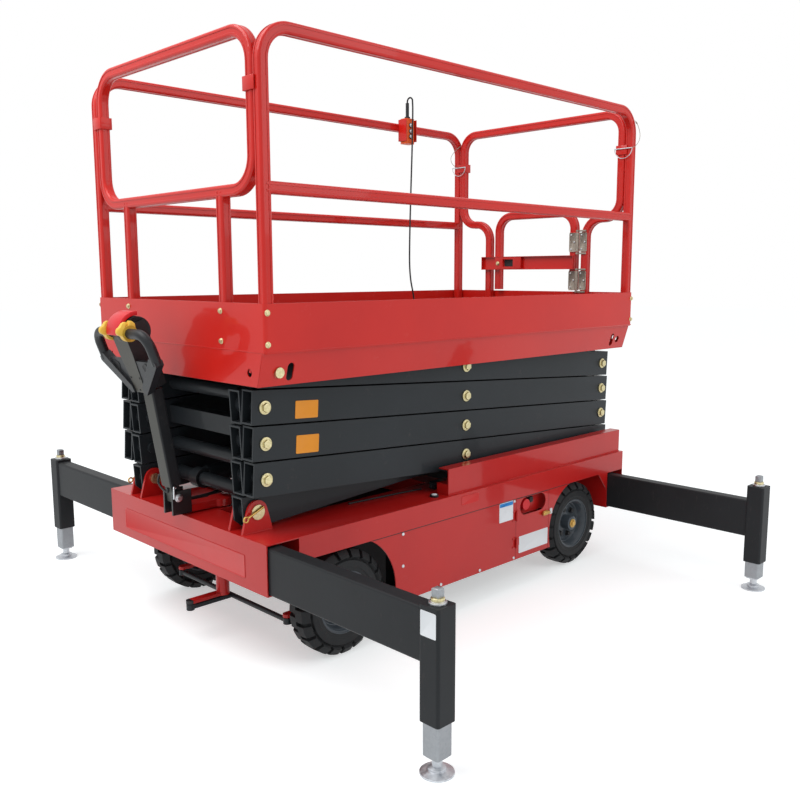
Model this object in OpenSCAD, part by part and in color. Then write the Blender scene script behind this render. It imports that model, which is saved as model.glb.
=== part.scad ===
// Mobile scissor lift: towed chassis, four-stage scissor, railed platform and four outriggers.
// Millimetres, +X towards the tiller, +Y to the left, +Z up, wheels and feet on z = 0.

/* [Platform] */
// Length over the toe boards
platform_l = 2100; // [2000:10:2200]
// Width over the toe boards
platform_w = 1096; // [1060:2:1160]
// Height of the toe boards above the deck
toe_h = 147; // [100:1:200]
// Depth of the lower skirt below the deck
skirt_h = 113; // [100:1:125]
// Step from the toe boards in to the side skirts
skirt_step = 13; // [6:1:20]
// How far the side skirts lean inwards below that
skirt_lean = 31; // [10:1:34]
// Thickness of the platform sheets
sheet_t = 4; // [3:0.5:6]
// Height of the guard rails above the deck
rail_h = 981; // [900:1:1100]
// Height of the middle rails above the deck
mid_rail_h = 494; // [420:1:560]
// Side of the square rail tube
rail_tube = 38; // [30:1:42]
// Corner radius of the rail tube's section
rail_round = 9; // [4:0.5:10]
// Depth of the groove along each face of the rail tube
rail_groove = 1.5; // [0.5:0.25:3]
// Bend radius of the rails
rail_bend = 100; // [70:1:130]
// Distance of the front short posts from the middle
front_post_y = 308; // [250:1:380]
// Distance of the rear shoulder posts from the middle
shoulder_y = 300; // [295:1:330]
// Half the width of the gate, to its post centres
gate_half_w = 235; // [200:1:240]
// Height of the gate's top rail above the deck
gate_h = 529; // [490:1:600]

/* [Scissor] */
// Arm end pivots from the platform's ends when folded
joint_setback = 70; // [60:1:90]
// Height of the lowest pivots above the ground
base_joint_z = 546; // [544:1:560]
// Height gained by one stage when folded
stage_rise = 119; // [117:0.5:130]
// Height of the arm tube
arm_h = 113; // [90:1:113]
// Width of the arm tube
arm_w = 60; // [50:1:62]
// Wall of the arm tube
arm_wall = 6; // [4:0.5:10]
// How far the arm tube reaches past its end pivots
arm_overhang = 48; // [40:1:52]
// Outer face of the outer arms from the middle
outer_face_y = 438; // [430:1:440]
// Gap between the outer and the inner arms
arm_gap = 8; // [6:0.5:14]
// Radius of the pivot pins
pin_r = 20; // [14:0.5:24]
// Radius of the arms' rollers
roller_r = 26; // [22:0.5:30]
// Radius of the round cross tubes
cross_r = 26; // [22:1:30]
// Radius of the lift cylinder's barrel
barrel_r = 38; // [30:1:40]
// Radius of the lift cylinder's rod
rod_r = 24; // [18:1:28]
// Distance of each lift cylinder from the middle
cylinder_y = 160; // [130:1:210]

/* [Chassis] */
// Height of the chassis top above the ground
chassis_top = 478; // [470:1:480]
// Outer width of the chassis
chassis_w = 1054; // [1040:2:1060]
// Height of the side rails
side_rail_h = 84; // [60:1:90]
// Width of the side rails
side_rail_w = 40; // [30:1:60]
// Height of the outrigger beams
beam_h = 172; // [170:1:190]
// Drop of the rear outrigger beam below the front one
rear_beam_drop = 84; // [84:1:100]
// Ground clearance of the side panels
panel_bottom = 127; // [100:1:150]
// Radius of the wheel arches
arch_r = 228; // [222:1:235]
// Plate thickness of the chassis
plate_t = 5; // [4:0.5:6]

/* [Wheels] */
// Radius over the tyre's lugs
tyre_r = 190; // [180:1:195]
// Width of the tyre
tyre_w = 105; // [90:1:110]
// Radius of the rim
rim_r = 112; // [100:1:120]
// Lugs on each half of the tyre
lug_count = 18; // [14:2:18]
// Front axle behind the platform's front
front_axle_back = 346; // [338:1:350]
// Rear axle ahead of the platform's rear
rear_axle_ahead = 374; // [366:1:382]
// Radius of the wheel spindles
spindle_r = 22; // [18:0.5:26]
// Length of the steering arms
steer_arm = 140; // [120:1:160]

/* [Outriggers] */
// Width of the outrigger arm
outrigger_w = 58; // [50:1:58]
// Height of the outrigger arm
outrigger_h = 156; // [140:1:156]
// Outrigger leg from the middle, pulled out
leg_y = 1234; // [1200:1:1260]
// Side of the leg's sleeve
leg_sq = 72; // [70:1:80]
// Side of the jack's inner tube
jack_sq = 58; // [50:1:60]
// Radius of the foot pad
foot_r = 48; // [40:1:60]
// Height of the front leg sleeves' tops above the ground
leg_top = 476; // [474:1:490]
// Length of the leg's sleeve
sleeve_l = 326; // [300:1:335]

/* [Tiller] */
// Lean of the tiller's shaft
tiller_lean = 9.4; // [6:0.2:14]
// Length of the tiller's shaft
tiller_l = 400; // [360:1:440]
// Half the width over the tiller's grips
head_half_w = 193; // [180:1:196]

/* [Hidden] */
$fn = 48;

// Clearances, and how far a cutting body passes the face it cuts
pin_clear = 0.05;
seat_clear = 0.3;
run_clear = 5;
slide_clear = 3;
past = 1;

// Colours
red_paint = [0.76, 0.2, 0.2];
charcoal = [0.21, 0.23, 0.24];
zinc = [0.72, 0.66, 0.46];
galvanised = [0.66, 0.68, 0.69];
rubber = [0.13, 0.14, 0.15];
dark_plastic = [0.12, 0.12, 0.13];
orange = [0.93, 0.43, 0.16];
yellow = [0.92, 0.72, 0.2];

// Scissor places: arm number n runs from pivot row n - 1 to row n
stages = 4;
lift_top = 57;
joint_x = platform_l / 2 - joint_setback;
arm_l = sqrt(pow(2 * joint_x, 2) + pow(stage_rise, 2));
arm_tilt = atan2(stage_rise, 2 * joint_x);
inner_face_y = outer_face_y - arm_w - arm_gap;
inner_in_y = inner_face_y - arm_w;
function row_z(n) = base_joint_z + stage_rise * n;
function arm_z(n) = (row_z(n - 1) + row_z(n)) / 2;
roller_run_x = joint_x - arm_l * cos(lift_top) + roller_r;

// Platform places
half_l = platform_l / 2;
half_w = platform_w / 2;
deck_rise = 70;
deck_z = row_z(stages) + deck_rise;
deck_under = deck_z - sheet_t;
skirt_z = deck_z - skirt_h;
top_rail_z = deck_z + rail_h - rail_tube / 2;
mid_rail_z = deck_z + mid_rail_h;
rail_x = half_l - sheet_t - rail_tube / 2;
side_rail_y = half_w - sheet_t - rail_tube / 2;
rail_gap = 1;
end_rail_y = side_rail_y - rail_tube - rail_gap;

// Chassis places
half_chassis = chassis_w / 2;
beam_wall = 4;
slot_gap = 4;
arm_pitch = outrigger_w + slot_gap;
beam_depth = arm_pitch + outrigger_w + 2 * (slide_clear + beam_wall);
beam_x = half_l - beam_depth;
beam_bottom = chassis_top - beam_h;
outer_slot_x = half_l - beam_wall - slide_clear - outrigger_w / 2;
inner_slot_x = outer_slot_x - arm_pitch;
rail_bottom = chassis_top - side_rail_h;
panel_t = 4;
panel_y = half_chassis - 8;
front_axle_x = half_l - front_axle_back;
rear_axle_x = rear_axle_ahead - half_l;
wheel_z = tyre_r;
wheel_y = half_chassis - 65;
kingpin_y = half_chassis - 175;

// Put the machine's frame at the row's origin
module place() {
  translate([-frame_x, 0, 0]) children();
}
module both_sides() {
  children();
  mirror([0, 1, 0]) children();
}
module flip(side) {
  mirror([0, side > 0 ? 0 : 1, 0]) children();
}
// A box between two corners, and round bars along Y, X and Z
module block(low, high) {
  translate(low) cube(high - low);
}
module rod_y(r, y0, y1, x, z) {
  translate([x, y0, z]) rotate([-90, 0, 0]) cylinder(r = r, h = y1 - y0);
}
module rod_x(r, x0, x1, y) {
  translate([x1, y, 0]) rotate([0, 90, 0]) cylinder(r = r, h = x0 - x1);
}
module rod_z(r, z0, z1, x, y) {
  translate([x, y, z0]) cylinder(r = r, h = z1 - z0);
}
// A rounded rectangle, centred
module rounded(w, h, r) {
  square([w, h - 2 * r], center = true);
  square([w - 2 * r, h], center = true);
  for (u = [-1, 1])
    for (v = [-1, 1])
      translate([u * (w / 2 - r), v * (h / 2 - r)]) circle(r = r);
}
// Stand a flat shape up, in the XZ plane at y or in the YZ plane at x
module upright_xz(y) {
  translate([0, y, 0]) rotate([90, 0, 0]) children();
}
module upright_yz(x) {
  translate([x, 0, 0]) rotate([90, 0, 90]) children();
}

// Section of the rail tube, centred, with a groove along each face
groove_w = 14;
module rail_section() {
  difference() {
    rounded(rail_tube, rail_tube, rail_round);
    for (s = [-1, 1]) {
      translate([s * rail_tube / 2, 0]) square([2 * rail_groove, groove_w], center = true);
      translate([0, s * rail_tube / 2]) square([groove_w, 2 * rail_groove], center = true);
    }
  }
}
// Tube along a flat path of points, with the same bend at each inner point
function heading(p, q) = atan2(q[1] - p[1], q[0] - p[0]);
function wrapped(a) = a > 180 ? a - 360 : a < -180 ? a + 360 : a;
function turn_at(pts, i) = wrapped(heading(pts[i], pts[i + 1]) - heading(pts[i - 1], pts[i]));
function trim_at(pts, i, bend) =
  i == 0 || i == len(pts) - 1 ? 0 : bend * tan(abs(turn_at(pts, i)) / 2);
module bent_path(pts, bend) {
  for (i = [0 : len(pts) - 2]) {
    run = norm(pts[i + 1] - pts[i]) - trim_at(pts, i, bend) - trim_at(pts, i + 1, bend);
    translate([pts[i][0], pts[i][1], 0]) rotate([0, 0, heading(pts[i], pts[i + 1])])
      translate([trim_at(pts, i, bend), 0, 0]) rotate([90, 0, 90])
        linear_extrude(run) children();
  }
  for (i = [1 : len(pts) - 2]) {
    turn = turn_at(pts, i);
    side = sign(turn);
    translate([pts[i][0], pts[i][1], 0]) rotate([0, 0, heading(pts[i - 1], pts[i])])
      translate([-trim_at(pts, i, bend), side * bend, 0])
        rotate([0, 0, side > 0 ? -90 : 90 + turn])
          rotate_extrude(angle = abs(turn)) translate([bend, 0]) children();
  }
}
module bent_rail(pts, bend) {
  bent_path(pts, bend) rail_section();
}

// Arm tube with open ends along X, its middle at the origin, one end corner cut where it turns near a plate
corner_near = 22;
corner_high = 30;
module corner_cut(end, up, y0) {
  tip = [arm_l / 2 + arm_overhang + past, arm_h / 2 + past];
  translate([0, y0 + arm_w + past, 0]) rotate([90, 0, 0]) linear_extrude(arm_w + 2 * past)
    polygon([[end * tip[0], up * (corner_high - past)], [end * tip[0], up * tip[1]],
      [end * (arm_l / 2 + corner_near - past), up * tip[1]]]);
}
module arm_tube(y0) {
  half = arm_l / 2 + arm_overhang;
  difference() {
    block([-half, y0, -arm_h / 2], [half, y0 + arm_w, arm_h / 2]);
    block([-half - past, y0 + arm_wall, -arm_h / 2 + arm_wall],
      [half + past, y0 + arm_w - arm_wall, arm_h / 2 - arm_wall]);
  }
}
bush_wall = 10;
pin_tail = 12;
function pivots() = [-arm_l / 2, 0, arm_l / 2];
// One side of an inner arm: tube with bushed bores at its three pivots
module inner_side(n) {
  difference() {
    union() {
      arm_tube(inner_in_y);
      for (x = pivots()) rod_y(pin_r + bush_wall, inner_in_y, inner_face_y, x, 0);
    }
    for (x = pivots()) rod_y(pin_r + pin_clear, inner_in_y - past, inner_face_y + past, x, 0);
    if (n == 1) corner_cut(1, -1, inner_in_y);
    if (n == stages) corner_cut(-1, 1, inner_in_y);
  }
}
// One side of an outer arm: tube with its pivot pins and their washers and bolt heads
outer_in_y = inner_face_y + arm_gap;
washer_r = 21.5;
washer_t = 4;
head_r = 13.5;
head_t = 10;
bolt_end_y = outer_face_y + washer_t + head_t;
module outer_side(n) {
  front_pin = n < stages ? [arm_l / 2] : [];
  rear_pin = n > 1 ? [-arm_l / 2] : [];
  difference() {
    union() {
      arm_tube(outer_in_y);
      if (n == stages) rod_y(pin_r + bush_wall, outer_in_y, outer_face_y, arm_l / 2, 0);
    }
    if (n == stages) rod_y(pin_r + pin_clear, outer_in_y - past, outer_face_y + past, arm_l / 2, 0);
    if (n == 1) corner_cut(-1, -1, outer_in_y);
    if (n == stages) for (up = [-1, 1]) corner_cut(1, up, outer_in_y);
  }
  for (x = concat([0], front_pin, rear_pin)) rod_y(pin_r, inner_in_y - pin_tail, outer_face_y, x, 0);
  for (x = concat([-arm_l / 2, 0], front_pin)) {
    rod_y(washer_r, outer_face_y, outer_face_y + washer_t, x, 0);
    rod_y(head_r, outer_face_y, bolt_end_y, x, 0);
  }
  if (n == 1) rod_y(pin_r, outer_in_y, outer_face_y, -arm_l / 2, 0);
}
// Cross tubes between the two sides of an inner arm
cross_reach = arm_l / 2 - 112;
foot_along = 120;
eye_along = arm_l - 113;
low_cross_r = 24;
low_cross_drop = 28;
box_cross_h = 68;
box_cross_w = 50;
module arm_cross(x) {
  rod_y(cross_r, -inner_in_y, inner_in_y, x, 0);
}
module box_cross(x) {
  block([x - box_cross_w / 2, -inner_in_y, -box_cross_h / 2],
    [x + box_cross_w / 2, inner_in_y, box_cross_h / 2]);
}
roller_w = 44;
module inner_arm(n) {
  color(charcoal) place() translate([0, 0, arm_z(n)]) rotate([0, arm_tilt, 0]) {
    both_sides() inner_side(n);
    if (n == 1) {
      arm_cross(arm_l / 2 - foot_along);
      rod_y(low_cross_r, -inner_in_y, inner_in_y, -cross_reach, -low_cross_drop);
    } else if (n == 3) {
      box_cross(cross_reach);
      arm_cross(-cross_reach);
    } else {
      arm_cross(cross_reach);
      arm_cross(n == 2 ? arm_l / 2 - eye_along : -cross_reach);
    }
    if (n == stages) both_sides() top_roller();
  }
}
// The top rear roller runs beside the inner arm, under the platform's track
top_roller_y = inner_face_y + run_clear;
module top_roller() {
  rod_y(roller_r - seat_clear, top_roller_y, top_roller_y + roller_w, -arm_l / 2, 0);
  rod_y(pin_r + pin_clear, inner_in_y, top_roller_y, -arm_l / 2, 0);
}
module outer_arm_axis(n) {
  place() translate([0, 0, arm_z(n)]) rotate([0, -arm_tilt, 0]) children();
}
module outer_arm(n) {
  color(charcoal) outer_arm_axis(n) both_sides() outer_side(n);
}
module base_rollers() {
  color(galvanised) outer_arm_axis(1) both_sides()
    rod_y(roller_r - seat_clear, bolt_end_y, bolt_end_y + roller_w, -arm_l / 2, 0);
}

// Lift cylinders: the foot turns on the first inner arm's front cross tube, and the rod's saddle bears
// up under the second inner arm's rear cross tube
foot_x = joint_x - foot_along * cos(arm_tilt);
foot_z = base_joint_z + foot_along * sin(arm_tilt);
eye_x = joint_x - eye_along * cos(arm_tilt);
eye_z = row_z(1) + eye_along * sin(arm_tilt);
eye_drop = cross_r + rod_r + run_clear;
eye_span = norm([eye_x - foot_x, eye_z - foot_z]);
cyl_l = sqrt(pow(eye_span, 2) - pow(eye_drop, 2));
cyl_tilt = atan2(eye_z - foot_z, foot_x - eye_x) - asin(eye_drop / eye_span);
strap_w = 26;
strap_r = cross_r + 12;
gland_t = 40;
barrel_end = cyl_l - strap_r - slide_clear;
rod_start = strap_r + gland_t;
strap_in = cylinder_y - strap_w;
strap_out = cylinder_y + strap_w;
module cylinder_axis() {
  place() translate([foot_x, 0, foot_z]) rotate([0, cyl_tilt, 0]) both_sides() children();
}
module lift_barrels() {
  color(charcoal) cylinder_axis() difference() {
    union() {
      rod_y(strap_r, strap_in, strap_out, 0, 0);
      rod_x(barrel_r, -cross_r, -barrel_end, cylinder_y);
    }
    rod_y(cross_r + pin_clear, strap_in - strap_w, strap_out + strap_w, 0, 0);
    rod_x(rod_r + pin_clear, -rod_start, -barrel_end - past, cylinder_y);
  }
}
saddle_l = 50;
saddle_bite = 6;
module lift_rods() {
  saddle_x = -cyl_l - saddle_l / 2;
  color(galvanised) cylinder_axis() difference() {
    union() {
      rod_x(rod_r, -rod_start - slide_clear, saddle_x, cylinder_y);
      block([saddle_x, strap_in, 0], [saddle_x + saddle_l, strap_out, eye_drop - cross_r + saddle_bite]);
    }
    rod_y(cross_r + seat_clear, strap_in - past, strap_out + past, -cyl_l, eye_drop);
  }
}

// Chassis
module outrigger_beam(x0, x1, z0) {
  difference() {
    block([x0, -half_chassis, z0], [x1, half_chassis, z0 + beam_h]);
    block([x0 + beam_wall, -half_chassis - past, z0 + beam_wall],
      [x1 - beam_wall, half_chassis + past, z0 + beam_h - beam_wall]);
  }
}
ear_gap = 3;
base_ear_t = 10;
base_ear_r = 40;
base_ear_half = 62;
base_ear_tangent = 12;
module base_ear(y0) {
  ear_drop = base_joint_z - chassis_top + plate_t;
  translate([joint_x, 0, base_joint_z]) difference() {
    union() {
      rod_y(base_ear_r, y0, y0 + base_ear_t, 0, 0);
      translate([0, y0 + base_ear_t, 0]) rotate([90, 0, 0]) linear_extrude(base_ear_t)
        polygon([[-base_ear_half, -ear_drop], [base_ear_half, -ear_drop],
          [base_ear_r - past, base_ear_tangent - past], [past - base_ear_r, base_ear_tangent - past]]);
    }
    rod_y(pin_r + pin_clear, y0 - past, y0 + base_ear_t + past, 0, 0);
  }
}
cross_member_w = 90;
cross_member_h = 70;
module cross_member(x) {
  block([x - cross_member_w / 2, side_rail_w - half_chassis, rail_bottom],
    [x + cross_member_w / 2, half_chassis - side_rail_w, rail_bottom + cross_member_h]);
}
gusset_l = 70;
gusset_h = 84;
module gusset() {
  translate([beam_depth - half_l, half_chassis, rail_bottom]) rotate([90, 0, 0]) linear_extrude(panel_t)
    polygon([[0, 0], [gusset_l, 0], [0, -gusset_h]]);
}
strip_in_y = inner_in_y - 10;
steer_post_r = 25;
steer_wall = 20;
steer_x = beam_x - steer_post_r - 11;
bearing_h = 140;
module chassis_frame() {
  color(red_paint) place() difference() {
    union() {
      outrigger_beam(beam_x, half_l, beam_bottom);
      outrigger_beam(-half_l, beam_depth - half_l, beam_bottom - rear_beam_drop);
      both_sides() {
        block([-half_l, half_chassis - side_rail_w, rail_bottom], [beam_x, half_chassis, chassis_top]);
        block([-half_l, strip_in_y, chassis_top - plate_t], [beam_x, half_chassis, chassis_top]);
        base_ear(inner_face_y + ear_gap);
        base_ear(inner_in_y - ear_gap - base_ear_t);
        gusset();
      }
      for (x = [front_axle_x, rear_axle_x, 0]) cross_member(x);
      block([steer_x - steer_post_r - steer_wall, -steer_post_r - steer_wall, chassis_top - bearing_h],
        [beam_x, steer_post_r + steer_wall, chassis_top]);
    }
    rod_z(steer_post_r + pin_clear, 0, chassis_top + past, steer_x, 0);
  }
}
base_pin_head_r = washer_r + 4;
base_pin_head_t = 6;
module base_pins() {
  ears_in = inner_in_y - ear_gap - base_ear_t;
  ears_out = inner_face_y + ear_gap + base_ear_t;
  color(zinc) place() both_sides() {
    rod_y(pin_r, ears_in - pin_tail, ears_out, joint_x, base_joint_z);
    rod_y(base_pin_head_r, ears_out, ears_out + base_pin_head_t, joint_x, base_joint_z);
  }
}
// Tracks of the lower rollers: floor, outer guard and the lip over the roller
track_t = 5;
track_inset = 10;
track_lip = 45;
guard_y = half_chassis - 22;
guard_front_x = joint_x - 800;
module roller_tracks() {
  lip_z = base_joint_z + roller_r + run_clear;
  rear_x = track_inset - half_l;
  color(red_paint) place() both_sides() {
    block([rear_x, bolt_end_y - slide_clear, chassis_top],
      [guard_front_x, guard_y, base_joint_z - roller_r]);
    block([rear_x, guard_y, chassis_top], [guard_front_x, guard_y + track_t, lip_z + track_t]);
    block([rear_x, guard_y - track_lip, lip_z], [guard_front_x, guard_y + track_t, lip_z + track_t]);
  }
}

// Side panels with wheel arches, and the door with its hinges
door_rear_x = rear_axle_x + 216;
door_front_x = door_rear_x + 232;
door_gap = 2;
arch_half = sqrt(pow(arch_r, 2) - pow(rail_bottom - wheel_z, 2));
panel_front_x = front_axle_x - arch_half;
rear_arch_r = tyre_r + 20;
arch_tip = 10;
panel_rear_x = rear_axle_x + arch_tip + sqrt(pow(rear_arch_r, 2) - pow(rail_bottom - wheel_z, 2));
panel_h = rail_bottom - panel_bottom;
module panel_outline() {
  difference() {
    translate([panel_rear_x, panel_bottom]) square([panel_front_x - panel_rear_x, panel_h]);
    translate([front_axle_x, wheel_z]) circle(r = arch_r);
    translate([rear_axle_x, wheel_z]) circle(r = rear_arch_r);
  }
}
module panel_sheet() {
  translate([0, panel_y + panel_t, 0]) rotate([90, 0, 0]) linear_extrude(panel_t) children();
}
door_hinge_r = 5;
door_pin_r = 2.5;
door_hinge_h = 30;
door_hinge_cap = 7;
door_leaf_l = 22;
door_leaf_t = 2.5;
panel_out_y = panel_y + panel_t;
door_hinge_x = door_front_x - door_gap / 2;
door_hinge_y = panel_out_y + door_hinge_r + seat_clear;
door_hinge_rows = [panel_bottom + 60, rail_bottom - 90];
module panel_hinge(z) {
  rod_z(door_pin_r, z - door_hinge_cap, z + door_hinge_h + door_hinge_cap, door_hinge_x, door_hinge_y);
  for (z0 = [z - door_hinge_cap - seat_clear, z + door_hinge_h + seat_clear]) {
    rod_z(door_hinge_r, z0, z0 + door_hinge_cap, door_hinge_x, door_hinge_y);
    block([door_hinge_x, panel_out_y, z0],
      [door_front_x + door_leaf_l, panel_out_y + door_leaf_t, z0 + door_hinge_cap]);
  }
}
module door_hinge(z) {
  difference() {
    union() {
      rod_z(door_hinge_r, z, z + door_hinge_h, door_hinge_x, door_hinge_y);
      block([door_front_x - door_leaf_l, panel_out_y, z],
        [door_hinge_x, panel_out_y + door_leaf_t, z + door_hinge_h]);
    }
    rod_z(door_pin_r + pin_clear, z - past, z + door_hinge_h + past, door_hinge_x, door_hinge_y);
  }
}
module side_panel_left() {
  color(red_paint) place() {
    panel_sheet() difference() {
      panel_outline();
      translate([door_rear_x, panel_bottom - past]) square([door_front_x - door_rear_x, panel_h + 2 *
        past]);
    }
    for (z = door_hinge_rows) panel_hinge(z);
  }
}
module side_panel_right() {
  color(red_paint) place() mirror([0, 1, 0]) panel_sheet() panel_outline();
}
stop_x = door_front_x - 92;
stop_z = rail_bottom - 47;
slot_z = rail_bottom - 45;
slot_half = 38;
slot_front_x = door_front_x - 66;
slot_end_x = door_rear_x + 62;
module side_door() {
  color(red_paint) place() {
    panel_sheet() difference() {
      translate([door_rear_x + door_gap, panel_bottom])
        square([door_front_x - door_rear_x - 2 * door_gap, panel_h - door_gap]);
      for (x = [slot_front_x, slot_end_x]) translate([x, slot_z]) circle(r = slot_half);
      translate([slot_end_x, slot_z - slot_half]) square([slot_front_x - slot_end_x, 2 * slot_half]);
    }
    for (z = door_hinge_rows) door_hinge(z);
  }
}
pack_y = panel_y - 139;
stop_stem_r = 15;
stop_r = 24;
stop_in_y = panel_y - 30;
stop_out_y = panel_y - 12;
module emergency_stop() {
  color("red") place() {
    rod_y(stop_stem_r, pack_y, stop_in_y, stop_x, stop_z);
    rod_y(stop_r, stop_in_y, stop_out_y, stop_x, stop_z);
  }
}
pan_t = 4;
pan_rear_x = rear_axle_x + 276;
pan_front_x = front_axle_x - 282;
pack_short = 30;
pack_gap = 6;
module belly_pan() {
  color(charcoal) place()
    block([pan_rear_x, -panel_y, panel_bottom], [pan_front_x, panel_y, panel_bottom + pan_t]);
}
module power_pack() {
  color(charcoal) place() block([pan_rear_x, -pack_y, panel_bottom + pan_t],
    [pan_front_x - pack_short, pack_y, rail_bottom - pack_gap]);
}

// Axles, hung from the cross members
axle_h = 70;
axle_half = 36;
hanger_y = kingpin_y - 152;
hanger_t = 40;
hanger_low = wheel_z + 20;
king_r = 14;
boss_r = 36;
boss_half = 42;
hub_y = wheel_y - tyre_w / 2;
spindle_l = 88;
module axle_beam(x) {
  block([x - axle_half, -kingpin_y, wheel_z - axle_h / 2],
    [x + axle_half, kingpin_y, wheel_z + axle_h / 2]);
  both_sides() block([x - axle_half, hanger_y, hanger_low],
    [x + axle_half, hanger_y + hanger_t, rail_bottom]);
}
module front_axle() {
  color(red_paint) place() difference() {
    union() {
      axle_beam(front_axle_x);
      both_sides() rod_z(boss_r, wheel_z - boss_half, wheel_z + boss_half, front_axle_x, kingpin_y);
    }
    both_sides() rod_z(king_r + pin_clear, 0, 2 * wheel_z, front_axle_x, kingpin_y);
  }
}
spindle_shoulder = 12;
module rear_axle() {
  color(red_paint) place() {
    axle_beam(rear_axle_x);
    both_sides() {
      rod_y(spindle_r + spindle_shoulder, kingpin_y, hub_y, rear_axle_x, wheel_z);
      rod_y(spindle_r, hub_y, hub_y + spindle_l, rear_axle_x, wheel_z);
    }
  }
}

// Steering: knuckles on the kingpins, tie rod between their arms, drawbar with a like arm under its post
yoke_t = 12;
yoke_gap = 2;
yoke_r = 30;
yoke_web_gap = 4;
lever_z = wheel_z - boss_half - yoke_gap - yoke_t;
lever_half = 16;
tie_gap = 3;
tie_t = 22;
tie_rod_r = tie_t / 2 - 1.5;
tie_stem_t = tie_t - 8;
tie_stem_w = 24;
tie_eye_r = 15;
tie_pin_r = 8;
tie_z = lever_z - tie_gap - tie_t / 2;
// A steering arm along X from the origin, with the tie rod's pin under its end
module lever(y) {
  block([0, y - lever_half, lever_z], [steer_arm, y + lever_half, lever_z + yoke_t]);
  rod_z(lever_half, lever_z, lever_z + yoke_t, steer_arm, y);
  rod_z(tie_pin_r, tie_z - tie_t / 2 - tie_gap, lever_z + past, steer_arm, y);
}
module knuckle() {
  yoke_top = wheel_z + boss_half + yoke_gap;
  color(red_paint) place() translate([front_axle_x, 0, 0]) {
    rod_z(king_r, lever_z, yoke_top + yoke_t, 0, kingpin_y);
    for (z = [lever_z, yoke_top]) {
      rod_z(yoke_r, z, z + yoke_t, 0, kingpin_y);
      block([-yoke_r, kingpin_y, z], [yoke_r, hub_y, z + yoke_t]);
    }
    block([-yoke_r, kingpin_y + boss_r + yoke_web_gap, lever_z], [yoke_r, hub_y, yoke_top + yoke_t]);
    rod_y(spindle_r, hub_y, hub_y + spindle_l, 0, wheel_z);
    lever(kingpin_y);
  }
}
module knuckle_left() {
  knuckle();
}
module knuckle_right() {
  mirror([0, 1, 0]) knuckle();
}
module tie_rod() {
  front = steer_x - front_axle_x;
  eyes = [[0, -kingpin_y], [0, kingpin_y], [front, 0]];
  color(charcoal) place() translate([front_axle_x + steer_arm, 0, 0]) difference() {
    union() {
      rod_y(tie_rod_r, -kingpin_y, kingpin_y, 0, tie_z);
      block([0, -tie_stem_w / 2, tie_z - tie_stem_t / 2], [front, tie_stem_w / 2, tie_z + tie_stem_t / 2]);
      for (e = eyes) rod_z(tie_eye_r, tie_z - tie_t / 2, tie_z + tie_t / 2, e[0], e[1]);
    }
    for (e = eyes) rod_z(tie_pin_r + pin_clear, tie_z - tie_t, tie_z + tie_t, e[0], e[1]);
  }
}
bar_h = 26;
bar_w = 60;
bar_z = chassis_top + 6;
bar_hub_r = steer_post_r + 20;
bar_front = half_l - 12;
fork_half = 24;
fork_t = 8;
fork_l = 20;
fork_cheek = 24;
fold_pin_r = 8;
tiller_x = half_l + 19;
tiller_z = chassis_top + 67;
module drawbar() {
  color(red_paint) place() {
    block([steer_x, -bar_w / 2, bar_z], [bar_front, bar_w / 2, bar_z + bar_h]);
    rod_z(bar_hub_r, bar_z, bar_z + bar_h, steer_x, 0);
    rod_z(steer_post_r, lever_z, bar_z, steer_x, 0);
    translate([steer_x, 0, 0]) lever(0);
    both_sides() difference() {
      block([bar_front - fork_l, fork_half, bar_z],
        [tiller_x + fork_cheek, fork_half + fork_t, tiller_z + fork_cheek]);
      rod_y(fold_pin_r + pin_clear, fork_half - past, fork_half + fork_t + past, tiller_x, tiller_z);
    }
  }
}

// Tiller: folding shaft, and a head with two looped grips, a cap over its bulb and two thumb throttles
shaft_w = 66;
shaft_d = 44;
shaft_low = 45;
tongue = 16;
fold_pin_end = 6;
module tiller_axis() {
  place() translate([tiller_x, 0, tiller_z]) rotate([0, tiller_lean, 0]) children();
}
module tiller_shaft() {
  tongue_y = fork_half - past;
  color(charcoal) tiller_axis() {
    translate([0, 0, shaft_low]) linear_extrude(tiller_l - shaft_low) rounded(shaft_d, shaft_w,
      shaft_round);
    block([-tongue, -tongue_y, -tongue], [tongue, tongue_y, shaft_low + past]);
    rod_y(fold_pin_r, -fork_half - fork_t - fold_pin_end, fork_half + fork_t + fold_pin_end, 0, 0);
  }
}
shaft_round = 6;
head_lean = 11;
head_base = shaft_d / 2 * sin(head_lean) + seat_clear;
head_waist = 150;
head_top = 242;
head_half = 48;
head_back = -40;
head_front = 43;
bulb_x = -5;
bulb_z = 213;
bulb_r = 52;
cap_r = 67;
cap_half = 40;
cap_low = 180;
cap_back = -30;
module head_axis() {
  tiller_axis() translate([0, 0, tiller_l]) rotate([0, head_lean, 0]) children();
}
module head_body(x0, x1) {
  translate([x0, 0, 0]) rotate([90, 0, 90]) linear_extrude(x1 - x0)
    polygon([[-shaft_w / 2, head_base], [shaft_w / 2, head_base], [head_half, head_waist],
      [head_half, head_top],
      [-head_half, head_top], [-head_half, head_waist]]);
}
module tiller_head() {
  color(dark_plastic) head_axis() {
    head_body(head_back, head_front);
    intersection() {
      translate([bulb_x, 0, bulb_z]) sphere(r = bulb_r);
      block([bulb_x - bulb_r, -head_half, bulb_z - bulb_r], [bulb_x + bulb_r, head_half, bulb_z + bulb_r]);
    }
  }
}
grip_r = 17;
grip_x = 35;
grip_bend = 50;
grip_high = 222;
grip_low = 119;
grip_y = head_half_w - grip_r;
grip_root_y = 30;
brace_t = 30;
brace_edge = 15;
brace_low = 115;
brace_root = 24;
web_t = 12;
web_top = 125;
web_in = 2;
web_side = 34;
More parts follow.
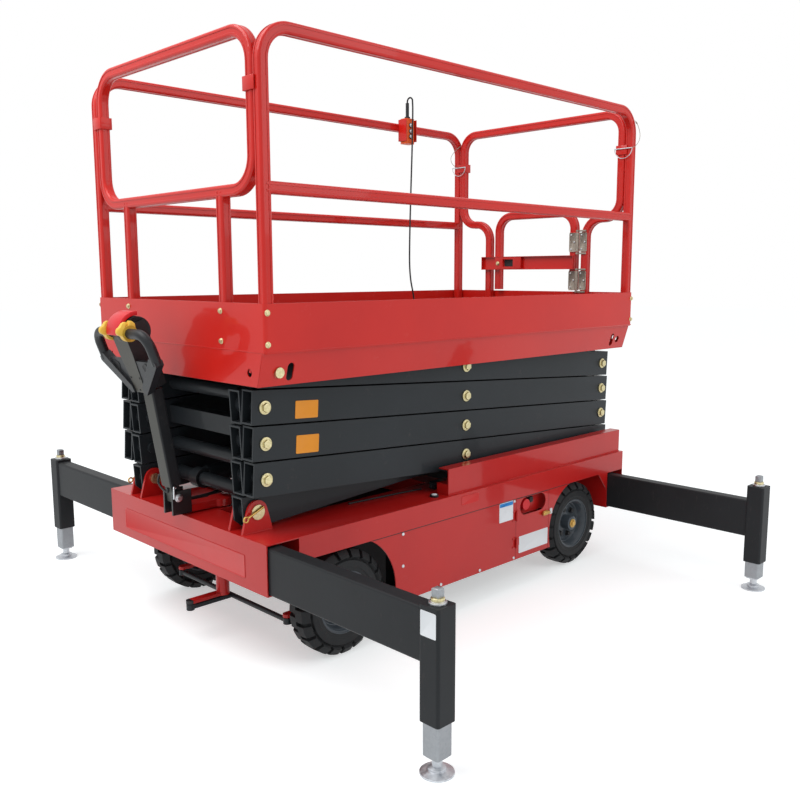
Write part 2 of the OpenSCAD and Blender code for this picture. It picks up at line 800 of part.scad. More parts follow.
module tiller_grips() {
  color(dark_plastic) head_axis() both_sides() difference() {
    translate([grip_x, 0, 0]) rotate([90, 0, 90]) {
      bent_path([[grip_root_y, grip_high], [grip_y, grip_high], [grip_y, grip_low]], grip_bend)
        circle(r = grip_r);
      translate([0, 0, -brace_t / 2]) linear_extrude(brace_t)
        polygon([[grip_y + brace_edge, brace_low + brace_edge], [grip_y + brace_edge, brace_low],
          [grip_root_y, -brace_edge], [grip_root_y, brace_root],
          [grip_y - brace_edge, brace_low + 2 * brace_edge]]);
      translate([0, 0, -web_t / 2]) linear_extrude(web_t)
        polygon([[grip_root_y, brace_root - web_in], [grip_y - web_side, web_top], [grip_root_y, web_top]]);
    }
    head_body(head_back, head_front + grip_r);
    block([head_back, -head_half, -head_waist], [head_front + grip_r, head_half, head_base + past]);
  }
}
module tiller_cap() {
  color("red") head_axis() difference() {
    intersection() {
      translate([bulb_x, 0, bulb_z]) sphere(r = cap_r);
      block([cap_back, -cap_half, cap_low], [bulb_x + cap_r + past, cap_half, bulb_z + cap_r + past]);
    }
    translate([bulb_x, 0, bulb_z]) sphere(r = bulb_r + seat_clear);
    head_body(head_back, head_front);
  }
}
throttle_x = 5;
throttle_z = 228;
throttle_r = 10;
throttle_end_y = 75;
paddle_y = 54;
paddle_t = 8;
paddle_half = 40;
module tiller_throttles() {
  color(yellow) head_axis() both_sides() {
    rod_y(throttle_r, head_half, throttle_end_y, throttle_x, throttle_z);
    block([throttle_x - throttle_r, paddle_y, throttle_z - paddle_half],
      [throttle_x - throttle_r + paddle_t, throttle_end_y, throttle_z + paddle_half]);
  }
}

// Wheels: a lugged tyre on a dished rim, turning about Y
lug_root = 18;
lug_shoulder = 13;
shoulder_w = 12;
lug_share = 0.37;
bead_in = 8;
wall_rise = 28;
wall_in = 4;
module wheel_axis(x, side) {
  place() flip(side) translate([x, wheel_y, wheel_z]) rotate([-90, 0, 0]) children();
}
// A ring with flat sides, from a profile of [radius, height] points
module ring_solid(profile, n) {
  count = len(profile);
  points = [for (i = [0 : n - 1]) for (p = profile) [p[0] * cos(i * 360 / n), p[0] * sin(i * 360 / n),
    p[1]]];
  faces = [for (i = [0 : n - 1]) for (k = [0 : count - 1])
    let (next = (i + 1) % n * count, after = (k + 1) % count)
    [i * count + k, i * count + after, next + after, next + k]];
  polyhedron(points, faces);
}
// Half of a tyre: a toothed ring cut to flat tips, sloped shoulders and side wall, turned by a share of the pitch
lug_over = 4;
lug_taper = 0.86;
module half_tyre(shift) {
  pitch = 360 / lug_count;
  foot = pitch * lug_share;
  half = tyre_w / 2;
  corner = 1 / cos(pitch / 2);
  root_r = tyre_r - lug_root;
  tip_r = (tyre_r + lug_over) * corner;
  seat_r = rim_r + seat_clear;
  profile = [[seat_r, 0], [tyre_r, 0], [tyre_r, half - shoulder_w], [tyre_r - lug_shoulder, half],
    [root_r - shoulder_w, half], [seat_r + wall_rise, half - wall_in], [seat_r, half - bead_in]];
  sides = [[-foot, root_r], [-foot * lug_taper, tip_r], [foot * lug_taper, tip_r], [foot, root_r]];
  rotate([0, 0, shift * pitch]) intersection() {
    ring_solid([for (p = profile) [p[0] * corner, p[1]]], lug_count);
    rotate([0, 0, pitch / 2]) linear_extrude(half) polygon([for (i = [0 : lug_count - 1]) for (p = sides)
      p[1] * [cos(i * pitch + p[0]), sin(i * pitch + p[0])]]);
  }
}
module tyre(x, side) {
  color(rubber) wheel_axis(x, side) for (s = [0, 1]) mirror([0, 0, s]) half_tyre(s / 2);
}
rim_t = 8;
lip_t = 6;
lip_in = 10;
disc_at = 4;
disc_r = 88;
hub_r = 44;
hub_cap_r = 34;
hub_step = 14;
hub_clear_r = spindle_r + pin_clear;
hub_depth = spindle_l + 2;
module rim(x, side) {
  half = tyre_w / 2;
  bead = half - bead_in;
  color([0.24, 0.26, 0.28]) wheel_axis(x, side) difference() {
    rotate_extrude() polygon([[0, seat_clear - half], [hub_r, seat_clear - half], [hub_r, disc_at - rim_t],
      [disc_r, disc_at - rim_t], [rim_r - rim_t, -bead], [rim_r, -bead], [rim_r, bead],
        [rim_r - lip_t, bead],
      [rim_r - lip_t, bead - lip_in], [disc_r, disc_at], [hub_r, disc_at], [hub_r, bead - hub_step],
      [hub_cap_r, bead - hub_step], [hub_cap_r, bead], [0, bead]]);
    translate([0, 0, -half - past]) cylinder(r = hub_clear_r, h = hub_depth + past);
  }
}
module front_left_tyre() {
  tyre(front_axle_x, 1);
}
module front_right_tyre() {
  tyre(front_axle_x, -1);
}
module rear_left_tyre() {
  tyre(rear_axle_x, 1);
}
module rear_right_tyre() {
  tyre(rear_axle_x, -1);
}
module front_left_rim() {
  rim(front_axle_x, 1);
}
module front_right_rim() {
  rim(front_axle_x, -1);
}
module rear_left_rim() {
  rim(rear_axle_x, 1);
}
module rear_right_rim() {
  rim(rear_axle_x, -1);
}

// Platform: toe boards, leaning side skirts with slots, end skirts, roller track and pivot ears
ear_t = 10;
ear_y = bolt_end_y + past;
ear_r = pin_r + 16;
ear_end_y = ear_y + ear_t;
pin_neck_r = 17;
pin_head_t = 6;
slot_in = 46;
slot_r = 13;
slot_rise = 16;
rear_hole_r = 15;
end_hole_r = 13;
end_hole_y = half_w - 88;
skirt_top_y = half_w - skirt_step;
skirt_low_y = skirt_top_y - skirt_lean;
skirt_set = 1;
pivot_z = row_z(stages);
top_track_z = pivot_z + roller_r;
toe_round = rail_round + sheet_t - 1;
module toe_boards() {
  translate([0, 0, deck_under - sheet_t]) linear_extrude(toe_h + 2 * sheet_t) difference() {
    rounded(platform_l, platform_w, toe_round);
    rounded(platform_l - 2 * sheet_t, platform_w - 2 * sheet_t, toe_round - sheet_t);
  }
}
module side_skirt() {
  difference() {
    union() {
      translate([half_l - skirt_set, 0, 0]) rotate([90, 0, -90]) linear_extrude(platform_l - 2 * skirt_set)
        polygon([[-skirt_top_y, deck_under], [-skirt_top_y + sheet_t, deck_under],
          [-skirt_low_y + sheet_t, skirt_z],
          [-skirt_low_y, skirt_z], [-skirt_top_y, deck_under - sheet_t]]);
      block([toe_round - half_l, skirt_top_y, deck_under - sheet_t],
        [half_l - toe_round, half_w - sheet_t, deck_under]);
    }
    for (x = [joint_x - slot_in, slot_in - joint_x]) {
      for (z = [-1, 1]) rod_y(slot_r, ear_end_y, half_w, x, pivot_z + z * slot_rise);
      block([x - slot_r, ear_end_y, pivot_z - slot_rise], [x + slot_r, half_w, pivot_z + slot_rise]);
    }
    rod_y(pin_neck_r + seat_clear, ear_end_y, half_w, joint_x, pivot_z);
    rod_y(rear_hole_r, ear_end_y, half_w, -joint_x, pivot_z);
  }
}
module end_skirt(x) {
  difference() {
    translate([x, 0, 0]) rotate([90, 0, 90]) linear_extrude(sheet_t)
      polygon([[skirt_top_y - sheet_t, deck_under], [skirt_low_y - sheet_t, skirt_z],
        [sheet_t - skirt_low_y, skirt_z], [sheet_t - skirt_top_y, deck_under]]);
    both_sides() translate([x - past, end_hole_y, pivot_z]) rotate([0, 90, 0])
      cylinder(r = end_hole_r, h = sheet_t + 2 * past);
  }
}
module platform_ear() {
  difference() {
    union() {
      rod_y(ear_r, ear_y, ear_end_y, joint_x, pivot_z);
      block([joint_x - ear_r, ear_y, pivot_z], [half_l - sheet_t, ear_end_y, deck_under]);
    }
    rod_y(pin_r + pin_clear, ear_y - past, ear_end_y + past, joint_x, pivot_z);
  }
}
module platform_frame() {
  rear_in_x = sheet_t - half_l;
  color(red_paint) place() {
    toe_boards();
    end_skirt(-half_l);
    end_skirt(half_l - sheet_t);
    both_sides() {
      side_skirt();
      block([rear_in_x, top_roller_y, top_track_z], [roller_run_x, ear_y, top_track_z + track_t]);
      block([rear_in_x, ear_y - track_t, top_track_z], [roller_run_x, ear_y, deck_under]);
      platform_ear();
    }
  }
}
module platform_pins() {
  color(zinc) place() both_sides() {
    rod_y(pin_r, outer_in_y - pin_tail, ear_end_y, joint_x, pivot_z);
    rod_y(pin_neck_r, ear_end_y, skirt_top_y - skirt_lean / 2 + pin_head_t, joint_x, pivot_z);
  }
}
bearer_h = 24;
bearer_w = 40;
bearer_y = inner_in_y - 15;
bearer_shares = [-0.6, -0.2, 0.2, 0.6];
cord_gland_h = 14;
cord_gland_r = 12;
module platform_deck() {
  color(charcoal) place() {
    translate([0, 0, deck_under]) linear_extrude(sheet_t)
      rounded(platform_l - 2 * sheet_t, platform_w - 2 * sheet_t, toe_round - sheet_t);
    for (s = bearer_shares)
      block([s * joint_x - bearer_w / 2, -bearer_y, deck_under - bearer_h],
        [s * joint_x + bearer_w / 2, bearer_y, deck_under]);
    rod_z(cord_gland_r, deck_z, deck_z + cord_gland_h, cord_end[0], cord_end[1]);
  }
}

// Guard rails
module side_hoop() {
  color(red_paint) place() upright_xz(side_rail_y) {
    bent_rail([[rail_x, deck_z], [rail_x, top_rail_z], [-rail_x, top_rail_z],
      [-rail_x, deck_z]], rail_bend);
    bent_rail([[rail_x, mid_rail_z], [-rail_x, mid_rail_z]], rail_bend);
  }
}
module rail_left() {
  side_hoop();
}
module rail_right() {
  mirror([0, 1, 0]) side_hoop();
}
module rail_front() {
  color(red_paint) place() upright_yz(rail_x) {
    bent_rail([[0, mid_rail_z], [end_rail_y, mid_rail_z], [end_rail_y, top_rail_z],
      [-end_rail_y, top_rail_z],
      [-end_rail_y, mid_rail_z], [0, mid_rail_z]], rail_bend);
    for (y = [-front_post_y, front_post_y]) bent_rail([[y, deck_z], [y, mid_rail_z]], rail_bend);
  }
}
shoulder_bend = 85;
module rail_rear() {
  color(red_paint) place() upright_yz(-rail_x)
    bent_rail([[shoulder_y, deck_z], [shoulder_y, mid_rail_z], [end_rail_y, mid_rail_z],
      [end_rail_y, top_rail_z],
      [-end_rail_y, top_rail_z], [-end_rail_y, mid_rail_z], [-shoulder_y, mid_rail_z],
        [-shoulder_y, deck_z]],
      shoulder_bend);
}

// Gate with its latch channel, hinged on the left shoulder post
gate_bend = 80;
gate_top_z = deck_z + gate_h;
gate_low_z = deck_z + toe_h + 7;
channel_low = deck_z + 256;
channel_high = deck_z + 323;
channel_d = 20;
channel_t = 3;
latch_reach = 26;
hinge_r = 7;
hinge_pin_r = 4;
hinge_h = 95;
hinge_cap = 8;
hinge_gap = 2;
hinge_grip = 14;
leaf_t = 3;
bracket_t = 7;
post_face_x = -rail_x + rail_tube / 2;
hinge_x = post_face_x + hinge_r + past;
hinge_y = (gate_half_w + shoulder_y) / 2;
hinge_rows = [gate_low_z, deck_z + 338];
module gate() {
  channel_end = gate_half_w + rail_tube / 2;
  color(red_paint) place() {
    upright_yz(-rail_x) bent_rail([[gate_half_w, gate_low_z], [gate_half_w, gate_top_z],
      [-gate_half_w, gate_top_z],
      [-gate_half_w, gate_low_z]], gate_bend);
    difference() {
      block([post_face_x, -shoulder_y - latch_reach, channel_low],
        [post_face_x + channel_d, channel_end, channel_high]);
      block([post_face_x + channel_t, channel_t - shoulder_y - latch_reach, channel_low + channel_t],
        [post_face_x + channel_d + past, channel_end - channel_t, channel_high - channel_t]);
    }
    for (z = hinge_rows) difference() {
      union() {
        rod_z(hinge_r, z, z + hinge_h, hinge_x, hinge_y);
        block([post_face_x, gate_half_w - hinge_grip, z], [post_face_x + leaf_t, hinge_y, z + hinge_h]);
      }
      rod_z(hinge_pin_r + pin_clear, z - past, z + hinge_h + past, hinge_x, hinge_y);
    }
  }
}
module gate_hinges() {
  color(zinc) place() for (z = hinge_rows) {
    rod_z(hinge_pin_r, z - hinge_gap - hinge_cap, z + hinge_h + hinge_gap + hinge_cap, hinge_x, hinge_y);
    for (z0 = [z - hinge_gap - hinge_cap, z + hinge_h + hinge_gap]) {
      rod_z(hinge_r, z0, z0 + hinge_cap, hinge_x, hinge_y);
      block([post_face_x, hinge_y, z0], [post_face_x + bracket_t, shoulder_y + hinge_grip, z0 + hinge_cap]);
    }
  }
}

// Pendant in its sheet holder on the right top rail, with its cord down to a gland in the deck
pendant_x = 465 - half_l;
holder_y = -side_rail_y + rail_tube / 2;
holder_z = top_rail_z - 69;
holder_h = 105;
holder_w = 75;
holder_d = 55;
holder_t = 3;
pendant_w = 60;
pendant_d = 46;
pendant_h = 122;
pendant_round = 9;
pendant_drop = 12;
pendant_y = holder_y + holder_t + seat_clear + pendant_d / 2;
pendant_top = holder_z - pendant_drop + pendant_h;
module pendant_holder() {
  color(red_paint) place() translate([pendant_x, holder_y, holder_z]) {
    block([-holder_w / 2, 0, 0], [holder_w / 2, holder_t, holder_h]);
    for (s = [0, 1]) mirror([s, 0, 0])
      block([holder_w / 2 - holder_t, 0, 0], [holder_w / 2, holder_d, holder_h]);
  }
}
module pendant() {
  color(orange) place() translate([pendant_x, pendant_y, pendant_top - pendant_h])
    linear_extrude(pendant_h) rounded(pendant_w, pendant_d, pendant_round);
}
boot_r = 8.5;
boot_flange_r = 14;
boot_flange_h = 10;
boot_h = 77;
module pendant_boot() {
  color(dark_plastic) place() {
    rod_z(boot_flange_r, pendant_top, pendant_top + boot_flange_h, pendant_x, pendant_y);
    rod_z(boot_r, pendant_top, pendant_top + boot_h, pendant_x, pendant_y);
  }
}
cord_r = 4;
cord_sides = 8;
cord_bend = 18;
cord_step = 22.5;
cord_start_z = pendant_top + boot_h;
cord_turn_z = cord_start_z + 6;
cord_end_z = deck_z + cord_gland_h;
cord_drops = [0.05, 0.2, 0.4, 0.6, 0.74, 0.82, 0.88, 0.94, 1];
cord_sways = [-2, 2, 11, 19, 21, 13, -3, -16, -19];
cord_y = pendant_y + 2 * cord_bend;
cord_points = concat([[pendant_x, pendant_y, cord_start_z]],
  [for (a = [180 : -cord_step : 0])
    [pendant_x, pendant_y + cord_bend * (1 + cos(a)), cord_turn_z + cord_bend * sin(a)]],
  [for (i = [0 : len(cord_drops) - 1])
    [pendant_x + cord_sways[i], cord_y, cord_turn_z + cord_drops[i] * (cord_end_z - cord_turn_z)]]);
cord_end = cord_points[len(cord_points) - 1];
function unit(v) = v / norm(v);
function along(pts, i) = unit(pts[min(i + 1, len(pts) - 1)] - pts[max(i - 1, 0)]);
function across(d) = unit(cross(d, [1, 0, 0]));
module cord_tube(pts, r) {
  rings = [for (i = [0 : len(pts) - 1])
    let (d = along(pts, i), u = across(d), v = cross(d, u))
    for (k = [0 : cord_sides - 1])
      pts[i] + r * (cos(k * 360 / cord_sides) * u + sin(k * 360 / cord_sides) * v)];
  last = (len(pts) - 1) * cord_sides;
  walls = [for (i = [0 : len(pts) - 2]) for (k = [0 : cord_sides - 1])
    let (a = i * cord_sides + k, b = i * cord_sides + (k + 1) % cord_sides)
    [a, a + cord_sides, b + cord_sides, b]];
  ends = [[for (k = [0 : cord_sides - 1]) k], [for (k = [cord_sides - 1 : -1 : 0]) last + k]];
  polyhedron(rings, concat(walls, ends));
}
module pendant_cord() {
  color(dark_plastic) place() cord_tube(cord_points, cord_r);
}

// Outriggers: arm in its beam, sleeve, jack tube and foot
travel = 650;
arm_root = travel - half_chassis + 2;
arm_tube_wall = 6;
arm_round = 8;
sleeve_round = 9;
jack_round = 6;
screw_head = 22;
screw_h = 40;
screw_washer_r = 22;
screw_washer_t = 6;
bore_half = jack_sq / 2 + seat_clear;
module outrigger(x, z_top, arm_low) {
  difference() {
    union() {
      difference() {
        translate([x, leg_y, arm_low + outrigger_h / 2]) rotate([90, 0, 0]) linear_extrude(leg_y - arm_root)
          rounded(outrigger_w, outrigger_h, arm_round);
        block([x - outrigger_w / 2 + arm_tube_wall, arm_root - past, arm_low + arm_tube_wall],
          [x + outrigger_w / 2 - arm_tube_wall, leg_y, arm_low + outrigger_h - arm_tube_wall]);
      }
      translate([x, leg_y, z_top - sleeve_l]) linear_extrude(sleeve_l) rounded(leg_sq, leg_sq,
        sleeve_round);
    }
    block([x - bore_half, leg_y - bore_half, z_top - sleeve_l - past],
      [x + bore_half, leg_y + bore_half, z_top - plate_t]);
  }
  rod_z(screw_washer_r, z_top, z_top + screw_washer_t, x, leg_y);
  translate([x - screw_head / 2, leg_y - screw_head / 2, z_top]) cube([screw_head, screw_head, screw_h]);
}
jack_top = 345;
jack_low = 46;
jack_bevel = 6;
neck_r = 14;
neck_h = jack_low + 2;
foot_rim = 5;
foot_slope = 12;
foot_collar_r = 25;
foot_collar_h = 18;
module jack(x) {
  translate([x, leg_y, jack_low]) {
    translate([0, 0, jack_bevel]) linear_extrude(jack_top - jack_low - jack_bevel) rounded(jack_sq,
      jack_sq, jack_round);
    linear_extrude(jack_bevel) rounded(jack_sq - 2 * jack_bevel, jack_sq - 2 * jack_bevel, jack_round);
  }
  translate([x, leg_y, 0]) rotate_extrude() polygon([[0, 0], [foot_r, 0], [foot_r, foot_rim],
    [foot_collar_r, foot_slope], [foot_collar_r, foot_collar_h], [neck_r, foot_collar_h + foot_rim],
    [neck_r, neck_h], [0, neck_h]]);
}
front_arm_z = beam_bottom + beam_wall + seat_clear;
rear_arm_z = front_arm_z - rear_beam_drop;
rear_leg_top = leg_top - 30;
module outrigger_front_left() {
  color(charcoal) place() outrigger(outer_slot_x, leg_top, front_arm_z);
}
module outrigger_front_right() {
  color(charcoal) place() flip(-1) outrigger(inner_slot_x, leg_top, front_arm_z);
}
module outrigger_rear_left() {
  color(charcoal) place() outrigger(-inner_slot_x, rear_leg_top, rear_arm_z);
}
module outrigger_rear_right() {
  color(charcoal) place() flip(-1) outrigger(-outer_slot_x, rear_leg_top, rear_arm_z);
}
module jack_front_left() {
  color(galvanised) place() jack(outer_slot_x);
}
module jack_front_right() {
  color(galvanised) place() flip(-1) jack(inner_slot_x);
}
module jack_rear_left() {
  color(galvanised) place() jack(-inner_slot_x);
}
module jack_rear_right() {
  color(galvanised) place() flip(-1) jack(-outer_slot_x);
}

// The frame's origin lies under the middle of the whole machine, tiller included
head_angle = tiller_lean + head_lean;
tiller_reach = tiller_x + tiller_l * sin(tiller_lean) + bulb_x * cos(head_angle) + bulb_z *
  sin(head_angle) + cap_r;
rear_reach = max(half_l, outer_slot_x + foot_r);
frame_x = (tiller_reach - rear_reach) / 2;

chassis_frame();
side_panel_left();
side_panel_right();
belly_pan();
power_pack();
roller_tracks();
base_pins();
front_axle();
rear_axle();
emergency_stop();
side_door();
front_left_tyre();
front_left_rim();
front_right_tyre();
front_right_rim();
rear_left_tyre();
rear_left_rim();
rear_right_tyre();
rear_right_rim();
knuckle_left();
knuckle_right();
tie_rod();
drawbar();
tiller_shaft();
tiller_head();
tiller_grips();
tiller_cap();
tiller_throttles();
inner_arm(1);  // inner_arm_1
inner_arm(2);  // inner_arm_2
inner_arm(3);  // inner_arm_3
inner_arm(4);  // inner_arm_4
outer_arm(1);  // outer_arm_1
outer_arm(2);  // outer_arm_2
outer_arm(3);  // outer_arm_3
outer_arm(4);  // outer_arm_4
base_rollers();
lift_barrels();
lift_rods();
platform_frame();
platform_deck();
platform_pins();
rail_left();
rail_right();
rail_front();
rail_rear();
gate();
gate_hinges();
pendant_holder();
pendant();
pendant_boot();
pendant_cord();
outrigger_front_left();
outrigger_front_right();
outrigger_rear_left();
outrigger_rear_right();
jack_front_left();
jack_front_right();
jack_rear_left();
jack_rear_right();
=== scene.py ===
import math
import bmesh
import bpy
from mathutils import Matrix, Vector


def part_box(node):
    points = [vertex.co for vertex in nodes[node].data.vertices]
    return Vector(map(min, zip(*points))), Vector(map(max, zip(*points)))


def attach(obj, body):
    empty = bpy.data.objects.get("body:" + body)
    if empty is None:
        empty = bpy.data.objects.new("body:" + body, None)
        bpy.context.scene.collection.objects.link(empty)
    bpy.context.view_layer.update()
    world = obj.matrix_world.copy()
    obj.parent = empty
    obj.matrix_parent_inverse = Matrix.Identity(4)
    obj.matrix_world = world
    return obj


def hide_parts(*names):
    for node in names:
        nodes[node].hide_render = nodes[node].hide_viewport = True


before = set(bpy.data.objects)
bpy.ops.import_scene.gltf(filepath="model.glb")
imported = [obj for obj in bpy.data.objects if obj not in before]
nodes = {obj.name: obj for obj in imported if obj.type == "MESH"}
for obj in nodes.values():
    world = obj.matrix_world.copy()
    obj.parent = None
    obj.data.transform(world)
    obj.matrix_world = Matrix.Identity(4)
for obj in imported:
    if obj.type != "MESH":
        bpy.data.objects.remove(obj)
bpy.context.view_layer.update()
deckLow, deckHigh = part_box("platform_deck")
middleX = (deckLow.x + deckHigh.x) / 2  # the platform's middle, which the sizes below are taken from
print("frame loaded,", len(nodes), "nodes")


def at(x, y, z):  # millimetres from the platform's middle on the ground, to the frame's metres
    return Vector((middleX + x / 1000, y / 1000, z / 1000))


# camera
view = {"place": (2597, 2710, 1328), "pitch": 81.71, "roll": 0.12, "turn": 135.56, "lens": 39.0}
cameraData = bpy.data.cameras.new("camera")
cameraData.lens = view["lens"]
cameraData.sensor_width = 36
camera = bpy.data.objects.new("camera", cameraData)
bpy.context.scene.collection.objects.link(camera)
camera.location = at(*view["place"])
camera.rotation_euler = [math.radians(view[k]) for k in ("pitch", "roll", "turn")]
bpy.context.scene.camera = camera


# tools for modelling by hand
def letGo():
    if bpy.context.object and bpy.context.object.mode != "OBJECT":
        bpy.ops.object.mode_set(mode="OBJECT")
    bpy.ops.object.select_all(action="DESELECT")


def pick(*pieces):  # the last one named is active
    letGo()
    for piece in pieces:
        piece.select_set(True)
        bpy.context.view_layer.objects.active = piece


def startBox(size, middle=(0, 0, 0)):  # millimetres, as in all of these
    letGo()
    bpy.ops.mesh.primitive_cube_add(size=1, location=Vector(middle) / 1000)
    piece = bpy.context.object
    piece.scale = Vector(size) / 1000
    bpy.ops.object.transform_apply(location=True, rotation=True, scale=True)
    return piece


def startDisc(sides, radius, depth, middle=(0, 0, 0), axis="Y"):
    turn = {"X": (0, math.pi / 2, 0), "Y": (math.pi / 2, 0, 0), "Z": (0, 0, 0)}[axis]
    letGo()
    bpy.ops.mesh.primitive_cylinder_add(vertices=sides, radius=radius / 1000, depth=depth / 1000,
                                        location=Vector(middle) / 1000, rotation=turn)
    bpy.ops.object.transform_apply(location=True, rotation=True, scale=True)
    return bpy.context.object


def openMesh(piece, kind):  # into edit mode, with nothing selected
    pick(piece)
    bpy.ops.object.mode_set(mode="EDIT")
    bpy.ops.mesh.select_mode(type=kind)
    bpy.ops.mesh.select_all(action="DESELECT")
    return bmesh.from_edit_mesh(piece.data)


def pickFaces(piece, test):
    work = openMesh(piece, "FACE")
    for face in work.faces:
        if test(face.calc_center_median() * 1000, face.normal):
            face.select_set(True)
    bmesh.update_edit_mesh(piece.data)


def pickEdges(piece, test):
    work = openMesh(piece, "EDGE")
    for edge in work.edges:
        if test(edge.verts[0].co * 1000, edge.verts[1].co * 1000):
            edge.select_set(True)
    bmesh.update_edit_mesh(piece.data)


def pickFront(piece):  # the faces along +Y
    pickFaces(piece, lambda middle, normal: normal.y > 0.9)


def stepIn(wide, deep=0):  # insets the faces picked
    bpy.ops.mesh.inset(thickness=wide / 1000, depth=deep / 1000)


def pullOut(move):  # extrudes them
    bpy.ops.mesh.extrude_region_move(TRANSFORM_OT_translate={"value": Vector(move) / 1000})


def turnOut():  # every normal
    bpy.ops.mesh.select_all(action="SELECT")
    bpy.ops.mesh.normals_make_consistent(inside=False)


def roundEdges(piece, width, segments=2, angle=35):
    pick(piece)
    bevel = piece.modifiers.new("edges", "BEVEL")
    bevel.width = width / 1000
    bevel.segments = segments
    bevel.limit_method = "ANGLE"
    bevel.angle_limit = math.radians(angle)
    bpy.ops.object.modifier_apply(modifier="edges")


def joined(*pieces):
    pick(*pieces)
    if len(pieces) > 1:
        bpy.ops.object.join()
    return bpy.context.view_layer.objects.active


def spread(piece, places):  # copies of a piece at each place, joined
    made = []
    for place in places:
        other = piece.copy()
        other.data = piece.data.copy()
        other.data.transform(place)
        bpy.context.scene.collection.objects.link(other)
        made.append(other)
    return joined(*made)


def drop(*pieces):
    for piece in pieces:
        mesh = piece.data
        bpy.data.objects.remove(piece)
        bpy.data.meshes.remove(mesh)


def facing(point, outward, tilt=0):  # puts a piece that is modelled along +Y at a point, turned to face outward
    out = Vector(outward)
    turn = Matrix.Rotation(math.atan2(-out.x, out.y), 4, "Z")
    if abs(out.z) > 0.5:
        turn = Matrix.Rotation(math.copysign(math.pi / 2, out.z), 4, "X")
    return Matrix.Translation(point) @ turn @ Matrix.Rotation(math.radians(tilt), 4, "Y")


def smoothLine(knots, steps=6):  # points on one smooth line through the knots
    ends = [knots[0] * 2 - knots[1]] + knots + [knots[-1] * 2 - knots[-2]]
    line = []
    for a, b, c, d in zip(ends, ends[1:], ends[2:], ends[3:]):
        for k in range(steps):
            t = k / steps
            spot = b * 2 + (c - a) * t + (a * 2 - b * 5 + c * 4 - d) * t ** 2
            line.append((spot + (b * 3 - a - c * 3 + d) * t ** 3) / 2)
    return line + [knots[-1]]


def wireAlong(line, radius, closed=False, corners=2):  # a round wire on those points, made a mesh
    curve = bpy.data.curves.new("wire", "CURVE")
    curve.dimensions = "3D"
    curve.bevel_depth = radius / 1000
    curve.bevel_resolution = corners
    curve.use_fill_caps = True
    run = curve.splines.new("POLY")
    run.points.add(len(line) - 1)
    for spot, point in zip(run.points, line):
        spot.co = (*point, 1)
    run.use_cyclic_u = closed
    wire = bpy.data.objects.new("wire", curve)
    bpy.context.scene.collection.objects.link(wire)
    pick(wire)
    bpy.ops.object.convert(target="MESH")
    return bpy.context.object


# pendant cord, along the same points as its solid
cordSizes = {"radius": 4, "x": -585, "y": -479.7, "exitZ": 2172, "bendZ": 2178, "bend": 18, "footZ": 1106,
             "drops": [0.05, 0.2, 0.4, 0.6, 0.74, 0.82, 0.88, 0.94, 1],
             "sways": [-2, 2, 11, 19, 21, 13, -3, -16, -19]}


def hangCord():
    c = cordSizes
    knots = [at(c["x"], c["y"], c["exitZ"])]
    for k in range(9):
        angle = math.radians(180 - 22.5 * k)
        knots.append(at(c["x"], c["y"] + c["bend"] * (1 + math.cos(angle)), c["bendZ"] + c["bend"] * math.sin(angle)))
    for fall, sway in zip(c["drops"], c["sways"]):
        knots.append(at(c["x"] + sway, c["y"] + 2 * c["bend"], c["bendZ"] + fall * (c["footZ"] - c["bendZ"])))
    line = smoothLine(knots, 4)
    cord = wireAlong(line, c["radius"], corners=3)
    cord.name = cord.data.name = "pendantCord"
    bpy.ops.object.shade_smooth_by_angle(angle=math.radians(50))
    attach(cord, "platform")
    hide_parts("pendant_cord")
    sum((b - a).length for a, b in zip(line, line[1:]))
    return cord


pendantCord = hangCord()
print("camera and cord ready")


# floor, backdrop and light
def seenDirectly(tree):  # 1 for what is seen or mirrored, 0 for light on the object
    path = tree.nodes.new("ShaderNodeLightPath")
    seen = path.outputs["Is Camera Ray"]
    for ray in ("Is Glossy Ray", "Is Transmission Ray"):
        most = tree.nodes.new("ShaderNodeMath")
        most.operation = "MAXIMUM"
        tree.links.new(seen, most.inputs[0])
        tree.links.new(path.outputs[ray], most.inputs[1])
        seen = most.outputs[0]
    return seen


